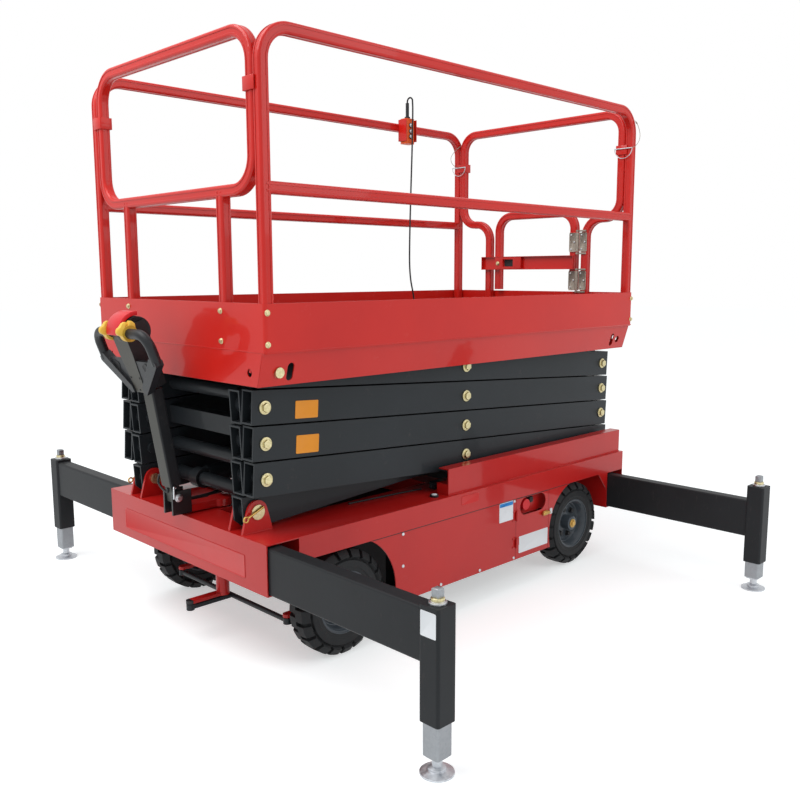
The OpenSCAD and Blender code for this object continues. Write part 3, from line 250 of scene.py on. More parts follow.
def studio():
    light = {"world": 0.72, "key": 120, "fill": 42, "floor": (0.77, 0.8, 0.8, 1), "glow": 0.46}
    bpy.context.scene.view_settings.view_transform = "Standard"
    world = bpy.data.worlds.new("studio")
    bpy.context.scene.world = world
    world.use_nodes = True
    tree = world.node_tree
    tree.nodes.clear()
    white = tree.nodes.new("ShaderNodeBackground")
    white.inputs["Color"].default_value = (1, 1, 1, 1)
    soft = tree.nodes.new("ShaderNodeBackground")
    soft.inputs["Color"].default_value = (0.96, 0.98, 1, 1)
    soft.inputs["Strength"].default_value = light["world"]
    mix = tree.nodes.new("ShaderNodeMixShader")
    out = tree.nodes.new("ShaderNodeOutputWorld")
    tree.links.new(seenDirectly(tree), mix.inputs[0])
    tree.links.new(soft.outputs[0], mix.inputs[1])
    tree.links.new(white.outputs[0], mix.inputs[2])
    tree.links.new(mix.outputs[0], out.inputs[0])
    for name, power, size, place, aim in [
            ("keyLight", light["key"], 3.2, at(2600, -600, 4600), at(0, 0, 900)),
            ("fillLight", light["fill"], 3.0, at(-1200, 4200, 3000), at(0, 0, 700))]:
        lamp = bpy.data.lights.new(name, "AREA")
        lamp.energy = power
        lamp.size = size
        lampObject = bpy.data.objects.new(name, lamp)
        bpy.context.scene.collection.objects.link(lampObject)
        lampObject.location = place
        lampObject.rotation_euler = (aim - place).to_track_quat("-Z", "Y").to_euler()
    letGo()
    bpy.ops.mesh.primitive_plane_add(size=60, location=(0, 0, 0))
    floor = bpy.context.object
    floor.name = "floor"
    ground = bpy.data.materials.new("ground")
    ground.use_nodes = True
    shader = ground.node_tree.nodes["Principled BSDF"]
    shader.inputs["Base Color"].default_value = light["floor"]
    shader.inputs["Roughness"].default_value = 1
    shader.inputs["Specular IOR Level"].default_value = 0
    ground.node_tree.links.new(seenDirectly(ground.node_tree), shader.inputs["Emission Color"])
    shader.inputs["Emission Strength"].default_value = light["glow"]
    floor.data.materials.append(ground)


studio()
print("studio ready")


class Wire:  # one output of a node, and sums on it add Math nodes
    def __init__(self, finish, socket):
        self.finish = finish
        self.socket = socket

    def maths(self, operation, *values):
        return self.finish.node("ShaderNodeMath", {"operation": operation}, dict(enumerate(values)))

    def __add__(self, other):
        return self.maths("ADD", self, other)

    def __radd__(self, other):
        return self.maths("ADD", other, self)

    def __sub__(self, other):
        return self.maths("SUBTRACT", self, other)

    def __rsub__(self, other):
        return self.maths("SUBTRACT", other, self)

    def __mul__(self, other):
        return self.maths("MULTIPLY", self, other)

    def __rmul__(self, other):
        return self.maths("MULTIPLY", other, self)

    def __gt__(self, other):
        return self.maths("GREATER_THAN", self, other)


class Finish:  # a material under way
    def __init__(self, name, **fixed):
        self.material = bpy.data.materials.new(name)
        self.material.use_nodes = True
        self.tree = self.material.node_tree
        self.shader = self.tree.nodes["Principled BSDF"]
        for socket, value in fixed.items():
            self.shader.inputs[socket.replace("_", " ")].default_value = value

    def node(self, kind, settings=None, inputs=None, output=0):
        made = self.tree.nodes.new(kind)
        for key, value in (settings or {}).items():
            if key == "stops":  # a ramp's stops, as (place, grey)
                for stop, (place, grey) in zip(made.color_ramp.elements, value):
                    stop.position = place
                    stop.color = (grey, grey, grey, 1)
            else:
                setattr(made, key, value)
        for key, value in (inputs or {}).items():
            if isinstance(value, Wire):
                self.tree.links.new(value.socket, made.inputs[key])
            else:
                made.inputs[key].default_value = value
        return Wire(self, made.outputs[output])

    def feed(self, socket, wire):
        self.tree.links.new(wire.socket, self.shader.inputs[socket])

    def place(self):
        return self.node("ShaderNodeTexCoord", output="Object")

    def along(self, axis):
        return self.node("ShaderNodeSeparateXYZ", None, {"Vector": self.place()}, output=axis)

    def noise(self, scale, detail=3, rough=0.55, stretch=(1, 1, 1)):
        spot = self.node("ShaderNodeMapping", None, {"Vector": self.place(), "Scale": stretch})
        return self.node("ShaderNodeTexNoise", None,
                         {"Vector": spot, "Scale": scale, "Detail": detail, "Roughness": rough})

    def band(self, wire, low, high):  # 0 below low, 1 above high
        return self.node("ShaderNodeValToRGB", {"stops": [(low, 0), (high, 1)]}, {"Fac": wire})

    def mix(self, share, first, second):
        return self.node("ShaderNodeMix", {"data_type": "RGBA"}, {0: share, 6: first, 7: second}, output=2)

    def softened(self, radius):  # the normal, rounded over the piece's edges
        return self.node("ShaderNodeBevel", {"samples": 6}, {"Radius": radius})

    def edges(self, soft):  # 1 along those edges
        flat = self.node("ShaderNodeNewGeometry", output="Normal")
        return 1 - self.node("ShaderNodeVectorMath", {"operation": "DOT_PRODUCT"}, {0: soft, 1: flat}, output="Value")

    def bump(self, height, strength, distance, normal=None):
        inputs = {"Height": height, "Strength": strength, "Distance": distance}
        if normal:
            inputs["Normal"] = normal
        self.feed("Normal", self.node("ShaderNodeBump", None, inputs))


def tone(red, green, blue):  # screen colour 0 to 255, to the shader's own
    linear = [c / 255 / 12.92 if c <= 10 else ((c / 255 + 0.055) / 1.055) ** 2.4 for c in (red, green, blue)]
    return (*linear, 1)


def paint(name, colour, shade, bare, rough=0.32, coat=0.35, peel=0.1, wear=0.5, ahead=None):
    finish = Finish(name, Coat_Roughness=0.05, Specular_IOR_Level=0.2)
    cloud = finish.noise(2.2, 4)
    speck = finish.noise(70, 5, 0.7)
    scuff = finish.band(finish.noise(16, 6, 0.75, (1, 5, 1)), 0.6, 0.8)
    soft = finish.softened(0.0022)
    worn = finish.band(finish.edges(soft) * speck, 0.10, 0.22) * wear
    base = finish.mix(finish.band(cloud, 0.3, 0.75), shade, colour)
    if ahead:  # a second colour from this x on
        base = finish.mix(finish.along("X") > ahead[0], base, ahead[1])
    dusty = finish.mix(scuff * 0.07, base, tone(196, 172, 164))
    finish.feed("Base Color", finish.mix(worn, dusty, bare))
    finish.feed("Roughness", rough + 0.16 * scuff + 0.08 * speck + 0.2 * worn)
    finish.feed("Coat Weight", coat - coat * scuff * 0.8)
    finish.bump(finish.noise(420, 2), peel, 0.0006, soft)
    return finish.material


def plated(name, colour, shade, rough, grain=140, metal=1.0, above=None):
    finish = Finish(name, Metallic=metal)
    cell = finish.node("ShaderNodeTexVoronoi", None, {"Vector": finish.place(), "Scale": grain}, output="Color")
    grey = finish.node("ShaderNodeSeparateColor", None, {"Color": cell})
    cloud = finish.noise(30, 4)
    soft = finish.softened(0.001)
    base = finish.mix(grey * 0.6 + cloud * 0.4, shade, colour)
    if above:  # a second colour above this height
        base = finish.mix(finish.along("Z") > above[0], base, above[1])
    finish.feed("Base Color", base)
    finish.feed("Roughness", rough + 0.16 * grey + 0.1 * cloud)
    finish.bump(finish.noise(300, 3), 0.12, 0.0005, soft)
    return finish.material


def moulded(name, colour, shade, rough, grain=900, dusted=0.16, front=None):
    finish = Finish(name, Specular_IOR_Level=0.32)
    cloud = finish.noise(9, 4)
    dust = finish.band(finish.noise(26, 6, 0.7), 0.55, 0.85)
    soft = finish.softened(0.0015)
    base = finish.mix(cloud, shade, colour)
    if front:  # painted highlight: the faces that look this way are painted lighter, as if lit from the front
        own = finish.node("ShaderNodeTexCoord", output="Normal")
        ahead = finish.node("ShaderNodeVectorMath", {"operation": "DOT_PRODUCT"}, {0: own, 1: front[0]}, output="Value")
        base = finish.mix(ahead > 0.93, base, front[1])
    finish.feed("Base Color", finish.mix(dust * dusted, base, tone(120, 116, 110)))
    finish.feed("Roughness", rough + 0.14 * dust + 0.08 * cloud)
    finish.bump(finish.noise(grain, 2), 0.25, 0.0005, soft)
    return finish.material


def rubber(name, colour, shade):
    finish = Finish(name, Specular_IOR_Level=0.25)
    cloud = finish.noise(14, 5)
    dust = finish.band(finish.noise(38, 6, 0.7), 0.5, 0.82)
    soft = finish.softened(0.002)
    worn = finish.band(finish.edges(soft), 0.02, 0.2)
    base = finish.mix(cloud, shade, colour)
    finish.feed("Base Color", finish.mix(dust * 0.2 + worn * 0.12, base, tone(92, 90, 86)))
    finish.feed("Roughness", 0.62 + 0.2 * dust)
    finish.bump(finish.noise(260, 4) * 0.7 + dust * 0.3, 0.35, 0.001, soft)
    return finish.material


def treadPlate(name, colour, shade):  # raised bars in two directions, worn bright on top
    finish = Finish(name, Specular_IOR_Level=0.5)
    spot = finish.node("ShaderNodeMapping", None, {"Vector": finish.place(), "Scale": (26, 26, 26)})
    check = finish.node("ShaderNodeTexChecker", None, {"Vector": spot, "Scale": 1}, output="Fac")
    bars = []
    for turn in (45, -45):
        bent = finish.node("ShaderNodeMapping", None, {"Vector": finish.place(),
                           "Rotation": (0, 0, math.radians(turn)), "Scale": (1, 1, 0)})
        wave = finish.node("ShaderNodeTexWave", {"bands_direction": "X"},
                           {"Vector": bent, "Scale": 11, "Distortion": 0})
        bars.append(finish.band(wave, 0.72, 0.9))
    raised = bars[0] * check + bars[1] * (1 - check)
    speck = finish.noise(60, 5, 0.7)
    worn = finish.band(raised * speck, 0.35, 0.7)
    base = finish.mix(finish.noise(5, 4), shade, colour)
    finish.feed("Base Color", finish.mix(worn * 0.5, base, tone(150, 148, 142)))
    finish.feed("Roughness", 0.5 + 0.2 * speck)
    finish.bump(raised, 0.6, 0.0018)
    return finish.material


finishes = {
    "redPaint": paint("redPaint", tone(212, 32, 21), tone(198, 26, 19), tone(160, 90, 82)),
    "chassisRed": paint("chassisRed", tone(194, 30, 26), tone(178, 24, 23), tone(146, 80, 74), wear=0.7),
    "forkPaint": paint("forkPaint", tone(194, 30, 26), tone(178, 24, 23), tone(120, 100, 96), wear=0.6,
                       ahead=(at(1016, 0, 0).x, tone(32, 33, 35))),
    "armPaint": paint("armPaint", tone(39, 43, 47), tone(31, 35, 38), tone(108, 108, 106), rough=0.42, coat=0.1),
    "outriggerPaint": paint("outriggerPaint", tone(35, 37, 40), tone(28, 30, 32), tone(98, 98, 98), rough=0.5,
                            coat=0.05),
    "panPaint": paint("panPaint", tone(36, 38, 40), tone(28, 30, 32), tone(80, 80, 80), rough=0.55, coat=0.0),
    "rimPaint": paint("rimPaint", tone(70, 77, 84), tone(56, 62, 68), tone(120, 124, 128), rough=0.3, coat=0.3),
    "galvanised": plated("galvanised", tone(212, 214, 218), tone(178, 182, 188), 0.34,
                         above=(0.05, tone(150, 153, 157))),
    "zincYellow": plated("zincYellow", tone(222, 212, 172), tone(186, 174, 128), 0.26, 220),
    "zincWhite": plated("zincWhite", tone(214, 216, 218), tone(176, 178, 182), 0.28, 220),
    "brass": plated("brass", tone(214, 178, 104), tone(170, 132, 70), 0.24, 260),
    "hingeSteel": plated("hingeSteel", tone(176, 168, 156), tone(136, 128, 118), 0.38, 180),
    "brightSteel": plated("brightSteel", tone(220, 222, 224), tone(180, 184, 188), 0.22, 200),
    "tyreRubber": rubber("tyreRubber", tone(33, 34, 36), tone(23, 24, 26)),
    "gripBlack": moulded("gripBlack", tone(33, 35, 39), tone(25, 27, 30), 0.38),
    # tiller head and shaft: black, with a painted highlight on their front faces
    "headBlack": moulded("headBlack", tone(31, 33, 36), tone(24, 25, 28), 0.44,
                         front=((math.cos(math.radians(20.4)), 0, -math.sin(math.radians(20.4))), tone(66, 64, 58))),
    "shaftBlack": moulded("shaftBlack", tone(31, 33, 36), tone(24, 25, 28), 0.44,
                          front=((math.cos(math.radians(9.4)), 0, -math.sin(math.radians(9.4))), tone(60, 59, 54))),
    "switchRed": moulded("switchRed", tone(222, 34, 42), tone(204, 26, 36), 0.3, dusted=0.05),
    "throttleYellow": moulded("throttleYellow", tone(244, 204, 84), tone(232, 184, 62), 0.36, dusted=0.06),
    "pendantOrange": moulded("pendantOrange", tone(238, 96, 32), tone(220, 78, 22), 0.4, dusted=0.06),
    "plateWhite": moulded("plateWhite", tone(236, 238, 240), tone(222, 224, 228), 0.3, dusted=0.08),
    "plateOrange": moulded("plateOrange", tone(240, 156, 40), tone(228, 138, 30), 0.3, dusted=0.08),
    "plateRed": moulded("plateRed", tone(206, 34, 32), tone(194, 28, 28), 0.3, dusted=0.08),
    "plateBlue": moulded("plateBlue", tone(44, 146, 222), tone(36, 132, 210), 0.3, dusted=0.08),
    "cordBlack": moulded("cordBlack", tone(34, 34, 36), tone(26, 26, 28), 0.5),
    "deckPlate": treadPlate("deckPlate", tone(74, 76, 78), tone(58, 60, 62)),
}
print(len(finishes), "finishes mixed")

nodeFinish = {
    "redPaint": ["platform_frame", "rail_left", "rail_right", "rail_front", "rail_rear", "gate", "pendant_holder"],
    "chassisRed": ["chassis_frame", "side_panel_left", "side_panel_right", "roller_tracks", "front_axle", "rear_axle",
                   "side_door", "knuckle_left", "knuckle_right"],
    "forkPaint": ["drawbar"],
    "armPaint": ["inner_arm_1", "inner_arm_2", "inner_arm_3", "inner_arm_4", "outer_arm_1", "outer_arm_2",
                 "outer_arm_3", "outer_arm_4", "tie_rod", "lift_barrels"],
    "outriggerPaint": ["outrigger_front_left", "outrigger_front_right", "outrigger_rear_left", "outrigger_rear_right"],
    "panPaint": ["belly_pan", "power_pack"],
    "rimPaint": ["front_left_rim", "front_right_rim", "rear_left_rim", "rear_right_rim"],
    "tyreRubber": ["front_left_tyre", "front_right_tyre", "rear_left_tyre", "rear_right_tyre"],
    "galvanised": ["jack_front_left", "jack_front_right", "jack_rear_left", "jack_rear_right"],
    "brightSteel": ["lift_rods", "base_rollers"],
    "zincYellow": ["base_pins", "platform_pins"],
    "hingeSteel": ["gate_hinges"],
    "headBlack": ["tiller_head"],
    "shaftBlack": ["tiller_shaft"],
    "gripBlack": ["tiller_grips", "pendant_boot"],
    "switchRed": ["tiller_cap", "emergency_stop"],
    "throttleYellow": ["tiller_throttles"],
    "pendantOrange": ["pendant"],
    "cordBlack": ["pendant_cord"],
    "deckPlate": ["platform_deck"],
}
for finishName, names in nodeFinish.items():
    for name in names:
        nodes[name].data.materials.clear()
        nodes[name].data.materials.append(finishes[finishName])
pendantCord.data.materials.append(finishes["cordBlack"])
print("frame painted")


def done(piece, name, body, finish, smooth=35):
    pick(piece)
    piece.name = name
    piece.data.name = name
    bpy.ops.object.shade_smooth_by_angle(angle=math.radians(smooth))
    piece.data.materials.clear()
    piece.data.materials.append(finishes[finish])
    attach(piece, body)
    return piece


# hex bolt with its washer, head along +Y and washer on the origin
def hexBolt(washer, washerThick, head, headThick):
    piece = startDisc(32, washer, washerThick, (0, washerThick / 2, 0))
    pickFront(piece)
    stepIn(washer - head * 1.12)
    pullOut((0, 1.2, 0))
    roundEdges(piece, 0.6)
    nut = startDisc(6, head, headThick, (0, washerThick + headThick / 2, 0))
    pickFront(nut)
    stepIn(head * 0.16, head * 0.05)
    stepIn(head * 0.3, -head * 0.03)
    roundEdges(nut, 0.7)
    return joined(nut, piece)


# domed screw, its base on the origin and its head along +Y
def domeScrew(radius, height):
    piece = startDisc(20, radius, height * 0.4, (0, height * 0.2, 0))
    for share, rise in ((0.2, 0.35), (0.35, 0.2), (0.5, 0.05)):
        pickFront(piece)
        stepIn(radius * share * 0.5)
        bpy.ops.transform.translate(value=(0, height * rise / 1000, 0))
    letGo()
    return piece


# flat plate with round corners and a low rim, its back on the origin and its face along +Y
def blankPlate(width, height, thick, corner, rim=2.5):
    piece = startBox((width, thick, height), (0, thick / 2, 0))
    pickEdges(piece, lambda a, b: abs(a.y - b.y) > thick / 2)
    bpy.ops.mesh.bevel(offset=corner / 1000, segments=4)
    pickFront(piece)
    stepIn(rim)
    stepIn(0.4, -thick * 0.3)
    roundEdges(piece, min(0.4, thick / 4), 1)
    return piece


# pivots of the scissor stack
scissor = {"halfX": 980, "baseZ": 546, "rise": 119, "face": 438, "stages": 4, "washer": (22.6, 4.6), "head": (16, 10.6)}


def scissorBolts():
    bolt = hexBolt(*scissor["washer"], *scissor["head"])
    half, rise, stages = scissor["halfX"], scissor["rise"], scissor["stages"]
    for n in range(1, stages + 1):
        low = scissor["baseZ"] + rise * (n - 1)
        places = []
        for side in (1, -1):
            for x, z in ((-half, low), (0, low + rise / 2), (half, low + rise)):
                if not (n == 1 and x < 0) and not (n == stages and x > 0):
                    places.append(facing(at(x, side * scissor["face"], z), (0, side, 0)))
        done(spread(bolt, places), "pivotBolts" + str(n), "outer_" + str(n), "zincYellow")
    drop(bolt)


scissorBolts()
print("scissor bolts in")

# lugged tyres on deep-dish rims, with bolts and hub caps
wheels = {"fl": ("front_left_", 704, 1), "fr": ("front_right_", 704, -1),
          "rl": ("rear_left_", -676, 1), "rr": ("rear_right_", -676, -1)}
tyreSizes = {"lugs": 20, "root": 176, "tread": 27, "half": 41, "shoulder": 157, "lug": 13.5,
             "wall": [(3, -2), (4, 8), (22, 1.5), (4, -3), (11.5, -1)]}
wheelSizes = {"middleY": 462, "axleZ": 190, "radius": 112, "half": 44, "disc": -6, "boltRing": 62, "bossEnd": 38,
              "dish": [(4, -5, 1), (5, -9, 0.97), (1, -26, 0.93), (4, -10, 0.95)], "bolts": 6, "boltTurn": 12,
              "hub": [(12, 0), (2, 3), (37, 0)], "back": (6, 24, 0.93), "bolt": (13, 3, 11, 12), "cap": (20, 4, 14, 6)}


def dishedRim():
    w = wheelSizes
    rim = startDisc(56, w["radius"], 2 * w["half"])
    pickFront(rim)
    for inset, deep, scale in w["dish"]:
        stepIn(inset)
        pullOut((0, deep, 0))
        bpy.ops.transform.resize(value=(scale, 1, scale))
    for wide, deep in w["hub"]:
        stepIn(wide, deep)
    pullOut((0, w["bossEnd"] - w["disc"] - 3, 0))
    stepIn(3, 1.5)
    pickFaces(rim, lambda middle, normal: normal.y < -0.9 and middle.y < -40)
    wide, deep, scale = w["back"]
    stepIn(wide)
    pullOut((0, deep, 0))
    bpy.ops.transform.resize(value=(scale, 1, scale))
    roundEdges(rim, 1.4, 2)
    return rim


def lugTyre():  # two toothed halves, half a pitch apart
    t = tyreSizes
    halves = []
    for side in (1, -1):
        half = startDisc(4 * t["lugs"], t["root"], t["tread"], (0, t["tread"] / 2, 0))
        pickFront(half)
        pullOut((0, t["half"] - t["tread"], 0))
        small = t["shoulder"] / t["root"]
        bpy.ops.transform.resize(value=(small, 1, small))
        for inset, deep in t["wall"]:
            stepIn(inset, deep)
        crown = t["half"] + sum(deep for inset, deep in t["wall"])
        pullOut((0, -crown, 0))
        pickFaces(half, lambda middle, normal: normal.y < -0.9)
        wide = t["root"] - t["shoulder"] + sum(inset for inset, deep in t["wall"])
        stepIn(wide)
        pickFaces(half, lambda middle, normal: abs(normal.y) > 0.9 and middle.length < 1)
        bpy.ops.mesh.delete(type="FACE")
        bpy.ops.mesh.select_all(action="SELECT")
        bpy.ops.mesh.remove_doubles(threshold=0.0005)

        def onLug(middle, normal):  # three sectors of each four
            sector = int(math.degrees(math.atan2(middle.z, middle.x)) % 360 * t["lugs"] / 90)
            return (sector - side) % 4 != 0 and middle.xz.length > t["shoulder"] + 2 and normal.y > -0.5

        pickFaces(half, onLug)
        bpy.ops.mesh.extrude_region_shrink_fatten(TRANSFORM_OT_shrink_fatten={"value": t["lug"] / 1000})
        letGo()
        if side < 0:
            half.data.transform(Matrix.Scale(-1, 4, (0, 1, 0)))
            pickFaces(half, lambda middle, normal: True)
            bpy.ops.mesh.normals_make_consistent(inside=False)
        halves.append(half)
    return joined(*halves)


def wheelHubs():
    w = wheelSizes
    tyre = lugTyre()
    rim = dishedRim()
    bolt = hexBolt(*w["bolt"])
    cap = hexBolt(*w["cap"])
    for name, (node, x, side) in wheels.items():
        middle = at(x, side * w["middleY"], w["axleZ"])
        turn = facing(middle, (0, side, 0))
        wheel = done(spread(rim, [turn]), "rim_" + name, "wheel_" + name, "rimPaint", 40)
        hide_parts(node + "rim")
        tread = done(spread(tyre, [turn]), "tyre_" + name, "wheel_" + name, "tyreRubber", 30)
        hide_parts(node + "tyre")
        ring = []
        for k in range(w["bolts"]):
            angle = math.radians(360 / w["bolts"] * k + w["boltTurn"])
            spot = Vector((math.cos(angle) * w["boltRing"], w["disc"] + 2.8, math.sin(angle) * w["boltRing"])) / 1000
            ring.append(turn @ Matrix.Translation(spot))
        done(spread(bolt, ring), "lugBolts_" + name, "wheel_" + name, "cordBlack")
        done(spread(cap, [turn @ Matrix.Translation((0, (w["bossEnd"] + 1.4) / 1000, 0))]), "hubCap_" + name,
             "wheel_" + name, "brass")
    drop(tyre, rim, bolt, cap)


wheelHubs()
print("wheel hubs in")

# blank plates: size, place of the middle, the way it faces, tilt, body and finish
plates = {
    "beamPlate": ((817, 79, 1.6, 6), (1050, -3, 380), (1, 0, 0), 0, "chassis", "plateRed"),
    "armPlate3": ((97, 60, 1.2, 4), (809, 438, 879), (0, 1, 0), -3.47, "outer_3", "plateOrange"),
    "armPlate2": ((97, 62, 1.2, 4), (808, 438, 761), (0, 1, 0), -3.47, "outer_2", "plateOrange"),
    "legPlate": ((56, 70, 1.2, 4), (1050, 1234, 428), (1, 0, 0), 0, "leg_fl", "plateWhite"),
    "panelPlate": ((90, 82, 1.2, 4), (-162, 523, 349), (0, 1, 0), 0, "chassis", "plateWhite"),
    "panelHeader": ((86, 15, 0.8, 2), (-162, 523.9, 380), (0, 1, 0), 0, "chassis", "plateBlue"),
    "railPlate": ((101, 36, 1.2, 4), (70, 527, 448), (0, 1, 0), 0, "chassis", "plateRed"),
    "doorPlate": ((204, 73, 1.2, 4), (-352, 523, 186), (0, 1, 0), 0, "door", "plateWhite"),
}


def blankPlates():
    for name, (size, place, outward, tilt, body, finish) in plates.items():
        plate = blankPlate(*size)
        plate.data.transform(facing(at(*place), outward, tilt))
        done(plate, name, body, finish)


blankPlates()
print("blank plates in")

# bolts of the toe boards and screws of the panels
toeBolts = {"front": (1050, 308), "side": (548, 1040), "rows": (1211, 1114), "bolt": (10, 1.6, 7.6, 5)}
panelScrews = {"face": 523, "screw": (6.5, 3.6),
               "spots": [(-216, 384), (-216, 138), (4, 138), (235, 138), (440, 384), (440, 262)]}


def smallFixings():
    bolt = hexBolt(*toeBolts["bolt"])
    places = []
    for z in toeBolts["rows"]:
        for side in (1, -1):
            x, y = toeBolts["front"]
            places += [facing(at(x, side * y, z), (1, 0, 0)), facing(at(-x, side * y, z), (-1, 0, 0))]
            y, x = toeBolts["side"]
            places += [facing(at(end * x, side * y, z), (0, side, 0)) for end in (1, -1)]
    done(spread(bolt, places), "toeBolts", "platform", "zincYellow")
    screw = domeScrew(*panelScrews["screw"])
    places = [facing(at(x, side * panelScrews["face"], z), (0, side, 0))
              for x, z in panelScrews["spots"] for side in (1, -1)]
    done(spread(screw, places), "panelScrews", "chassis", "zincWhite")
    drop(bolt, screw)


smallFixings()
print("small fixings in")

# weld runs: from, to and bead width
welds = {"runs": [((178, 511, 479), (68, 511, 479)), ((-189, 511, 479), (-321, 511, 479)),
                  ((-545, 511, 479), (-680, 511, 479)), ((-929, 511, 479), (-1035, 511, 479)),
                  ((1036, 384, 479), (924, 384, 479))], "width": 7, "step": 4.2}


def weldRuns():
    letGo()
    bpy.ops.mesh.primitive_uv_sphere_add(segments=8, ring_count=6, radius=welds["width"] / 2000)
    bead = bpy.context.object
    bpy.ops.object.mode_set(mode="EDIT")
    bpy.ops.mesh.select_all(action="SELECT")
    bpy.ops.transform.resize(value=(0.8, 1, 0.75))
    bpy.ops.mesh.bisect(plane_co=(0, 0, -0.0012), plane_no=(0, 0, 1), use_fill=True, clear_inner=True)
    letGo()
    places = []
    for start, end in welds["runs"]:
        for side in (1, -1):
            a, b = at(start[0], side * start[1], start[2]), at(end[0], side * end[1], end[2])
            count = int((b - a).length * 1000 / welds["step"])
            places += [Matrix.Translation(a.lerp(b, k / count)) for k in range(count + 1)]
    done(spread(bead, places), "weldRuns", "chassis", "chassisRed", 60)
    drop(bead)


weldRuns()
print("welds in")

# split pins of the front base pivots
splitPin = {"line": [(962, 393, 563), (993, 393, 549), (1024, 393, 535)], "eye": 9, "wire": 4}


def splitPins():
    wires = []
    for side in (1, -1):
        line = [at(x, side * y, z) for x, y, z in splitPin["line"]]
        wires.append(wireAlong(smoothLine(line, 3), splitPin["wire"]))
        along = (line[-1] - line[0]).normalized()
        up = Vector((0, side, 0)).cross(along)
        middle = line[-1] + along * splitPin["eye"] / 1000
        ring = [middle + (along * math.cos(a) + up * math.sin(a)) * splitPin["eye"] / 1000
                for a in [math.tau * k / 14 for k in range(14)]]
        wires.append(wireAlong(ring, splitPin["wire"] * 0.8, closed=True))
    done(joined(*wires), "splitPins", "inner_1", "brass", 60)


splitPins()
print("split pins in")

# spirit level, end switch and cable on the chassis top
topSizes = {"level": (230, 482, 478), "ring": (17, 9), "glass": (11.5, 7), "switch": (112, 392, 478),
            "case": (70, 34, 26), "lever": ((52, 4, 9), (34, 21, 20)), "roller": (10, 9, (60, 26, 20)),
            "cable": [(190, 372, 482), (320, 356, 482), (540, 337, 482)],
            "hose": [(786, -139, 492), (867, -121, 490), (927, -116, 490), (942, -124, 489)]}


def chassisTop():
    radius, tall = topSizes["ring"]
    ring = startDisc(28, radius, tall, (0, 0, tall / 2), "Z")
    pickFaces(ring, lambda middle, normal: normal.z > 0.9)
    stepIn(4)
    stepIn(0.8, -4)
    roundEdges(ring, 0.8)
    ring.data.transform(Matrix.Translation(at(*topSizes["level"])))
    done(ring, "levelRing", "chassis", "gripBlack")
    dome = domeScrew(*topSizes["glass"])
    dome.data.transform(facing(at(*topSizes["level"]) + Vector((0, 0, 0.005)), (0, 0, 1)))
    done(dome, "levelGlass", "chassis", "plateWhite")
    case = startBox(topSizes["case"], (0, 0, topSizes["case"][2] / 2))
    pickFaces(case, lambda middle, normal: normal.z > 0.9)
    stepIn(3, 2)
    roundEdges(case, 2.5, 3)
    lever = startBox(*topSizes["lever"])
    roundEdges(lever, 1.2)
    roller = startDisc(20, *topSizes["roller"])
    pickFaces(roller, lambda middle, normal: abs(normal.y) > 0.9)
    stepIn(3, -1)
    roundEdges(roller, 1)
    switch = joined(roller, lever, case)
    switch.data.transform(Matrix.Translation(at(*topSizes["switch"])))
    done(switch, "endSwitch", "chassis", "gripBlack")
    cables = [wireAlong(smoothLine([at(*p) for p in topSizes[k]]), r) for k, r in (("cable", 4), ("hose", 8))]
    done(joined(*cables), "topCables", "chassis", "cordBlack", 60)


chassisTop()
print("chassis top in")

# straps that hold the end hoops to the side rails, with drop pins and lanyards at the rear
straps = {"front": (1027, 492, 1888), "rear": (-1027, 492, 1888), "tall": 42, "thick": 3, "inner": 41, "deep": 58}
pinSizes = {"x": -1001, "z": 1893, "ends": (458, 549), "wire": 3, "ring": 44, "rope": 1.3, "sleeve": 3.2}
lanyards = [[(-1017, -504, 2008), (-981, -500, 1987), (-944, -498, 1958), (-931, -498, 1934), (-944, -500, 1909),
             (-974, -503, 1896), (-1000, -506, 1893)],
            [(-1022, 546, 2014), (-1030, 556, 1996), (-1031, 566, 1968), (-1030, 570, 1945), (-1027, 567, 1922),
             (-1016, 558, 1902), (-1001, 550, 1893)]]


def hoopStraps():
    wide = straps["inner"] + 2 * straps["thick"]
    strap = startBox((wide, straps["deep"], straps["tall"]))
    pickFaces(strap, lambda middle, normal: abs(normal.z) > 0.9 or normal.y > 0.9)
    bpy.ops.mesh.delete(type="ONLY_FACE")
    bpy.ops.object.mode_set(mode="OBJECT")
    sheet = strap.modifiers.new("sheet", "SOLIDIFY")
    sheet.thickness = straps["thick"] / 1000
    sheet.offset = -1
    bpy.ops.object.modifier_apply(modifier="sheet")
    roundEdges(strap, 0.8)
    places = []
    for x, y, z in (straps["front"], straps["rear"]):
        for side in (1, -1):
            places.append(Matrix.Translation(at(x, side * y, z)) @ Matrix.Rotation(0 if side > 0 else math.pi, 4, "Z"))
    done(spread(strap, places), "hoopStraps", "platform", "redPaint")
    drop(strap)
    wires, ropes = [], []
    for side in (1, -1):
        a, b = [at(pinSizes["x"], side * y, pinSizes["z"]) for y in pinSizes["ends"]]
        wires.append(wireAlong([a, a.lerp(b, 0.5), b], pinSizes["wire"]))
        hang = [a.lerp(b, (1 - math.cos(t)) / 2) - Vector((0, 0, math.sin(t) * pinSizes["ring"] / 1000))
                for t in [math.pi * k / 12 for k in range(13)]]
        wires.append(wireAlong(hang, pinSizes["wire"] * 0.6))
    done(joined(*wires), "dropPins", "platform", "zincWhite", 60)
    for knots in lanyards:
        line = smoothLine([at(*p) for p in knots])
        ropes.append(wireAlong(line, pinSizes["rope"], corners=1))
        ropes.append(wireAlong(line[2:6], pinSizes["sleeve"]))
    done(joined(*ropes), "lanyards", "platform", "hingeSteel", 60)


hoopStraps()
print("hoop straps in")

